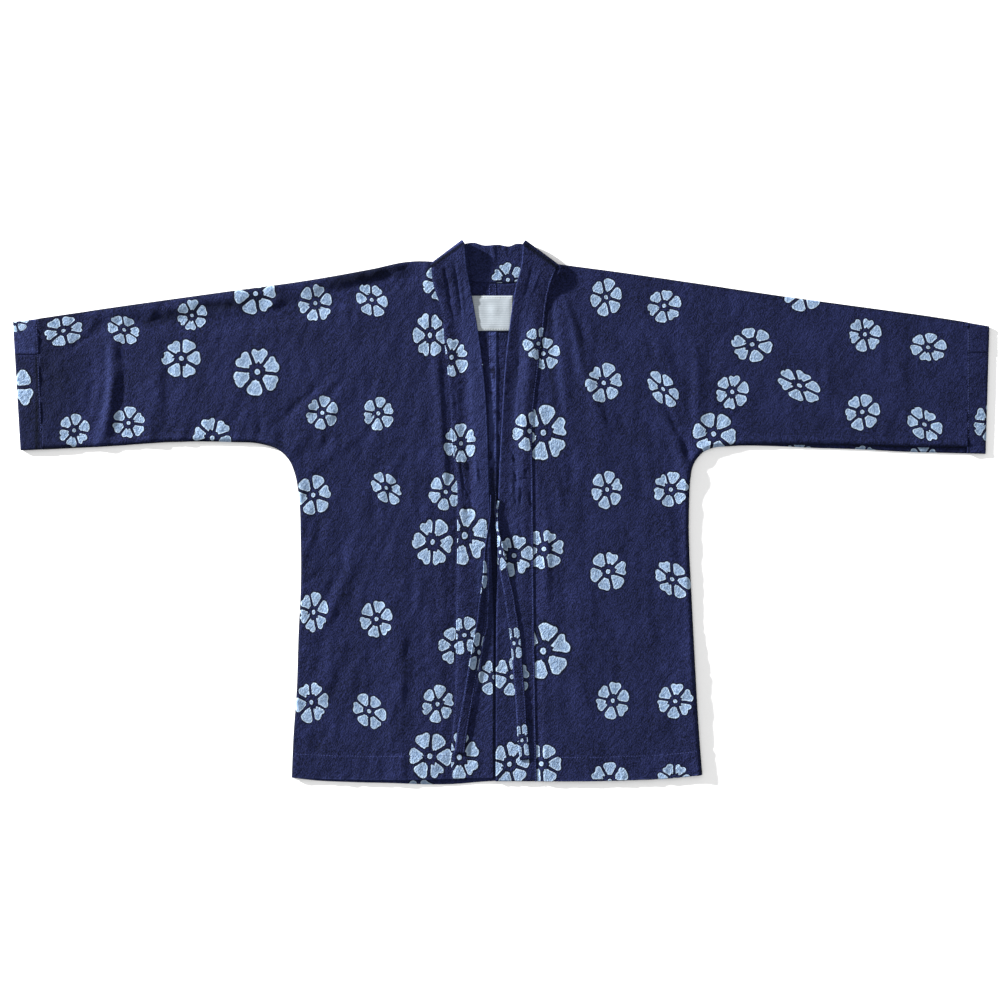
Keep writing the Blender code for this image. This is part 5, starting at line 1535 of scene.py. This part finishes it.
def linesObject(name, lines):
    curve = bpy.data.curves.new(name, "CURVE")
    curve.dimensions = "3D"
    for points in lines:
        spline = curve.splines.new("POLY")
        spline.points.add(len(points) - 1)
        for point, co in zip(spline.points, points):
            point.co = (*(np.asarray(co) * mm), 1.0)
    made = bpy.data.objects.new(name, curve)
    parts.objects.link(made)
    return made


def sewn(name, lines, thread):
    drawn = linesObject(name + "Lines", lines)
    nodes = drawn.modifiers.new("stitches", "NODES")
    nodes.node_group = stitches
    values = {"Pitch": sewing["pitch"] * mm, "Stitch length": sewing["length"] * mm,
              "Thread": sewing["thread"] * mm, "Seed": sewing["seed"], "Finish": thread}
    for item in stitches.interface.items_tree:
        if item.in_out == "INPUT" and item.name in values:
            nodes[item.identifier] = values[item.name]
    bpy.context.view_layer.update()
    ready = drawn.evaluated_get(bpy.context.evaluated_depsgraph_get())
    mesh = bpy.data.meshes.new_from_object(ready)
    mesh.name = name
    mesh.shade_smooth()
    bpy.data.objects.remove(drawn, do_unlink=True)
    return addPiece(name, mesh, thread)


def onFront(side, points):
    high = frontHeight(side, points[:, 0], points[:, 1]) + cloth["wall"] / 2
    return np.column_stack([points, high + sewing["above"]])


def onBand(side, points):
    return np.column_stack([points, bandTop(side, points[:, 0], points[:, 1]) + sewing["above"]])


def offset(line, by, count=200):
    # a line drawn beside another, to its left when by is positive
    points = line(np.linspace(0, 1, count))
    return points + leftOf(unit(np.gradient(points, axis=0))) * by


stitches = stitchTree()
indigoLines = []
for side, sign in outward.items():
    hemLine = offset(path(frontHem[side]), -sign * hemming["drawn"])
    indigoLines.append(onFront(side, hemLine[4:-3]))
    bandSeam = offset(path(band["seam"][side]), -sign * sewing["bandSeam"], 500)
    indigoLines.append(onBand(side, bandSeam[bandSeam[:, 1] < sewing["bandTop"]]))
    grid, raised = tieGrid(side)
    for column in (1, -2):
        points = grid[2:-2, column].copy()
        points[:, 2] += tie["half"] + raised[2:-2, column] + sewing["above"]
        indigoLines.append(points)
    ring = cuffGrid(side)[1][:cuff["around"] + 1]
    ring[:, 2] += cuff["half"] + 0.06
    indigoLines.append(ring[3:-3])
fromEdge, fromFold = backs["felledStitches"]
fellX = (cloth["centreBack"] - backs["edge"]["left"] - fromEdge,
         cloth["centreBack"] - backs["felled"] + fromFold)
for x in fellX:
    y = np.linspace(*sewing["backEnds"], 260)
    z = np.full_like(y, cloth["backZ"] + cloth["wall"] / 2 + 0.42)
    indigoLines.append(np.column_stack([np.full_like(y, x), y, z]))
stitching = sewn("stitching", indigoLines, indigoThread)

halfWide, halfHigh = label["width"] / 2 - label["stitches"], label["height"] / 2 - label["stitches"]
above = label["z"] + (label["thick"] / 2 + 0.10)
loop = np.array([(label["x"] + cx * halfWide, label["top"] - label["height"] / 2 + cy * halfHigh, above)
                 for cx, cy in ((-1, -1), (1, -1), (1, 1), (-1, 1), (-1, -1))])
labelStitching = sewn("labelStitching", [loop], whiteThread)
print("stitching made:", len(stitching.data.polygons), len(labelStitching.data.polygons))


# floor, light and camera
studio = {
    "key": 16400.0,          # W
    "keySize": 0.8,          # m
    "keyFar": 16.0,          # m
    "keyHigh": 12.0,         # degrees above the floor
    "keyTurn": 152.0,        # degrees round from +X: from the upper left
    "fill": 0.90,            # white surroundings
    "lens": 85.0,            # mm, on a 36 mm sensor
    "cameraHigh": 3.306,     # m
    "aim": (-0.00175, 0.017),
    "floorHalf": 6.0,        # m
    "floorDrop": 0.0004,     # m that the floor lies under the cloth, so that the two don't touch
}

floorMesh = bpy.data.meshes.new("floor")
floorCorners = [(x * studio["floorHalf"], y * studio["floorHalf"], 0)
                for x, y in ((-1, -1), (1, -1), (1, 1), (-1, 1))]
floorMesh.from_pydata(floorCorners, [], [(0, 1, 2, 3)])
floor = bpy.data.objects.new("floor", floorMesh)
floor.location.z = -studio["floorDrop"]
scene.collection.objects.link(floor)
paper, _, paperShader = newMaterial("White paper sweep", 0.95, 0.1)
paperShader.inputs["Base Color"].default_value = hexColour("#F2F2F2")
floorMesh.materials.append(paper)

world = bpy.data.worlds.new("White studio")
world.use_nodes = True
world.node_tree.nodes["Background"].inputs[0].default_value = (1.0, 1.0, 1.0, 1.0)
world.node_tree.nodes["Background"].inputs[1].default_value = studio["fill"]
scene.world = world

keyData = bpy.data.lights.new("key", "AREA")
keyData.shape = "DISK"
keyData.size = studio["keySize"]
keyData.energy = studio["key"]
key = bpy.data.objects.new("key", keyData)
high, turned = math.radians(studio["keyHigh"]), math.radians(studio["keyTurn"])
key.location = (studio["keyFar"] * math.cos(high) * math.cos(turned),
                studio["keyFar"] * math.cos(high) * math.sin(turned), studio["keyFar"] * math.sin(high))
key.rotation_euler = (math.pi / 2 - high, 0.0, turned + math.pi / 2)
scene.collection.objects.link(key)

cameraData = bpy.data.cameras.new("camera")
cameraData.lens = studio["lens"]
cameraData.sensor_width = 36.0
camera = bpy.data.objects.new("camera", cameraData)
camera.location = (*studio["aim"], studio["cameraHigh"])
scene.collection.objects.link(camera)
scene.camera = camera
scene.view_settings.view_transform = "Standard"
scene.view_settings.look = "None"
scene.view_settings.exposure = 0.0
scene.view_settings.gamma = 1.0
print("floor, light and camera set")
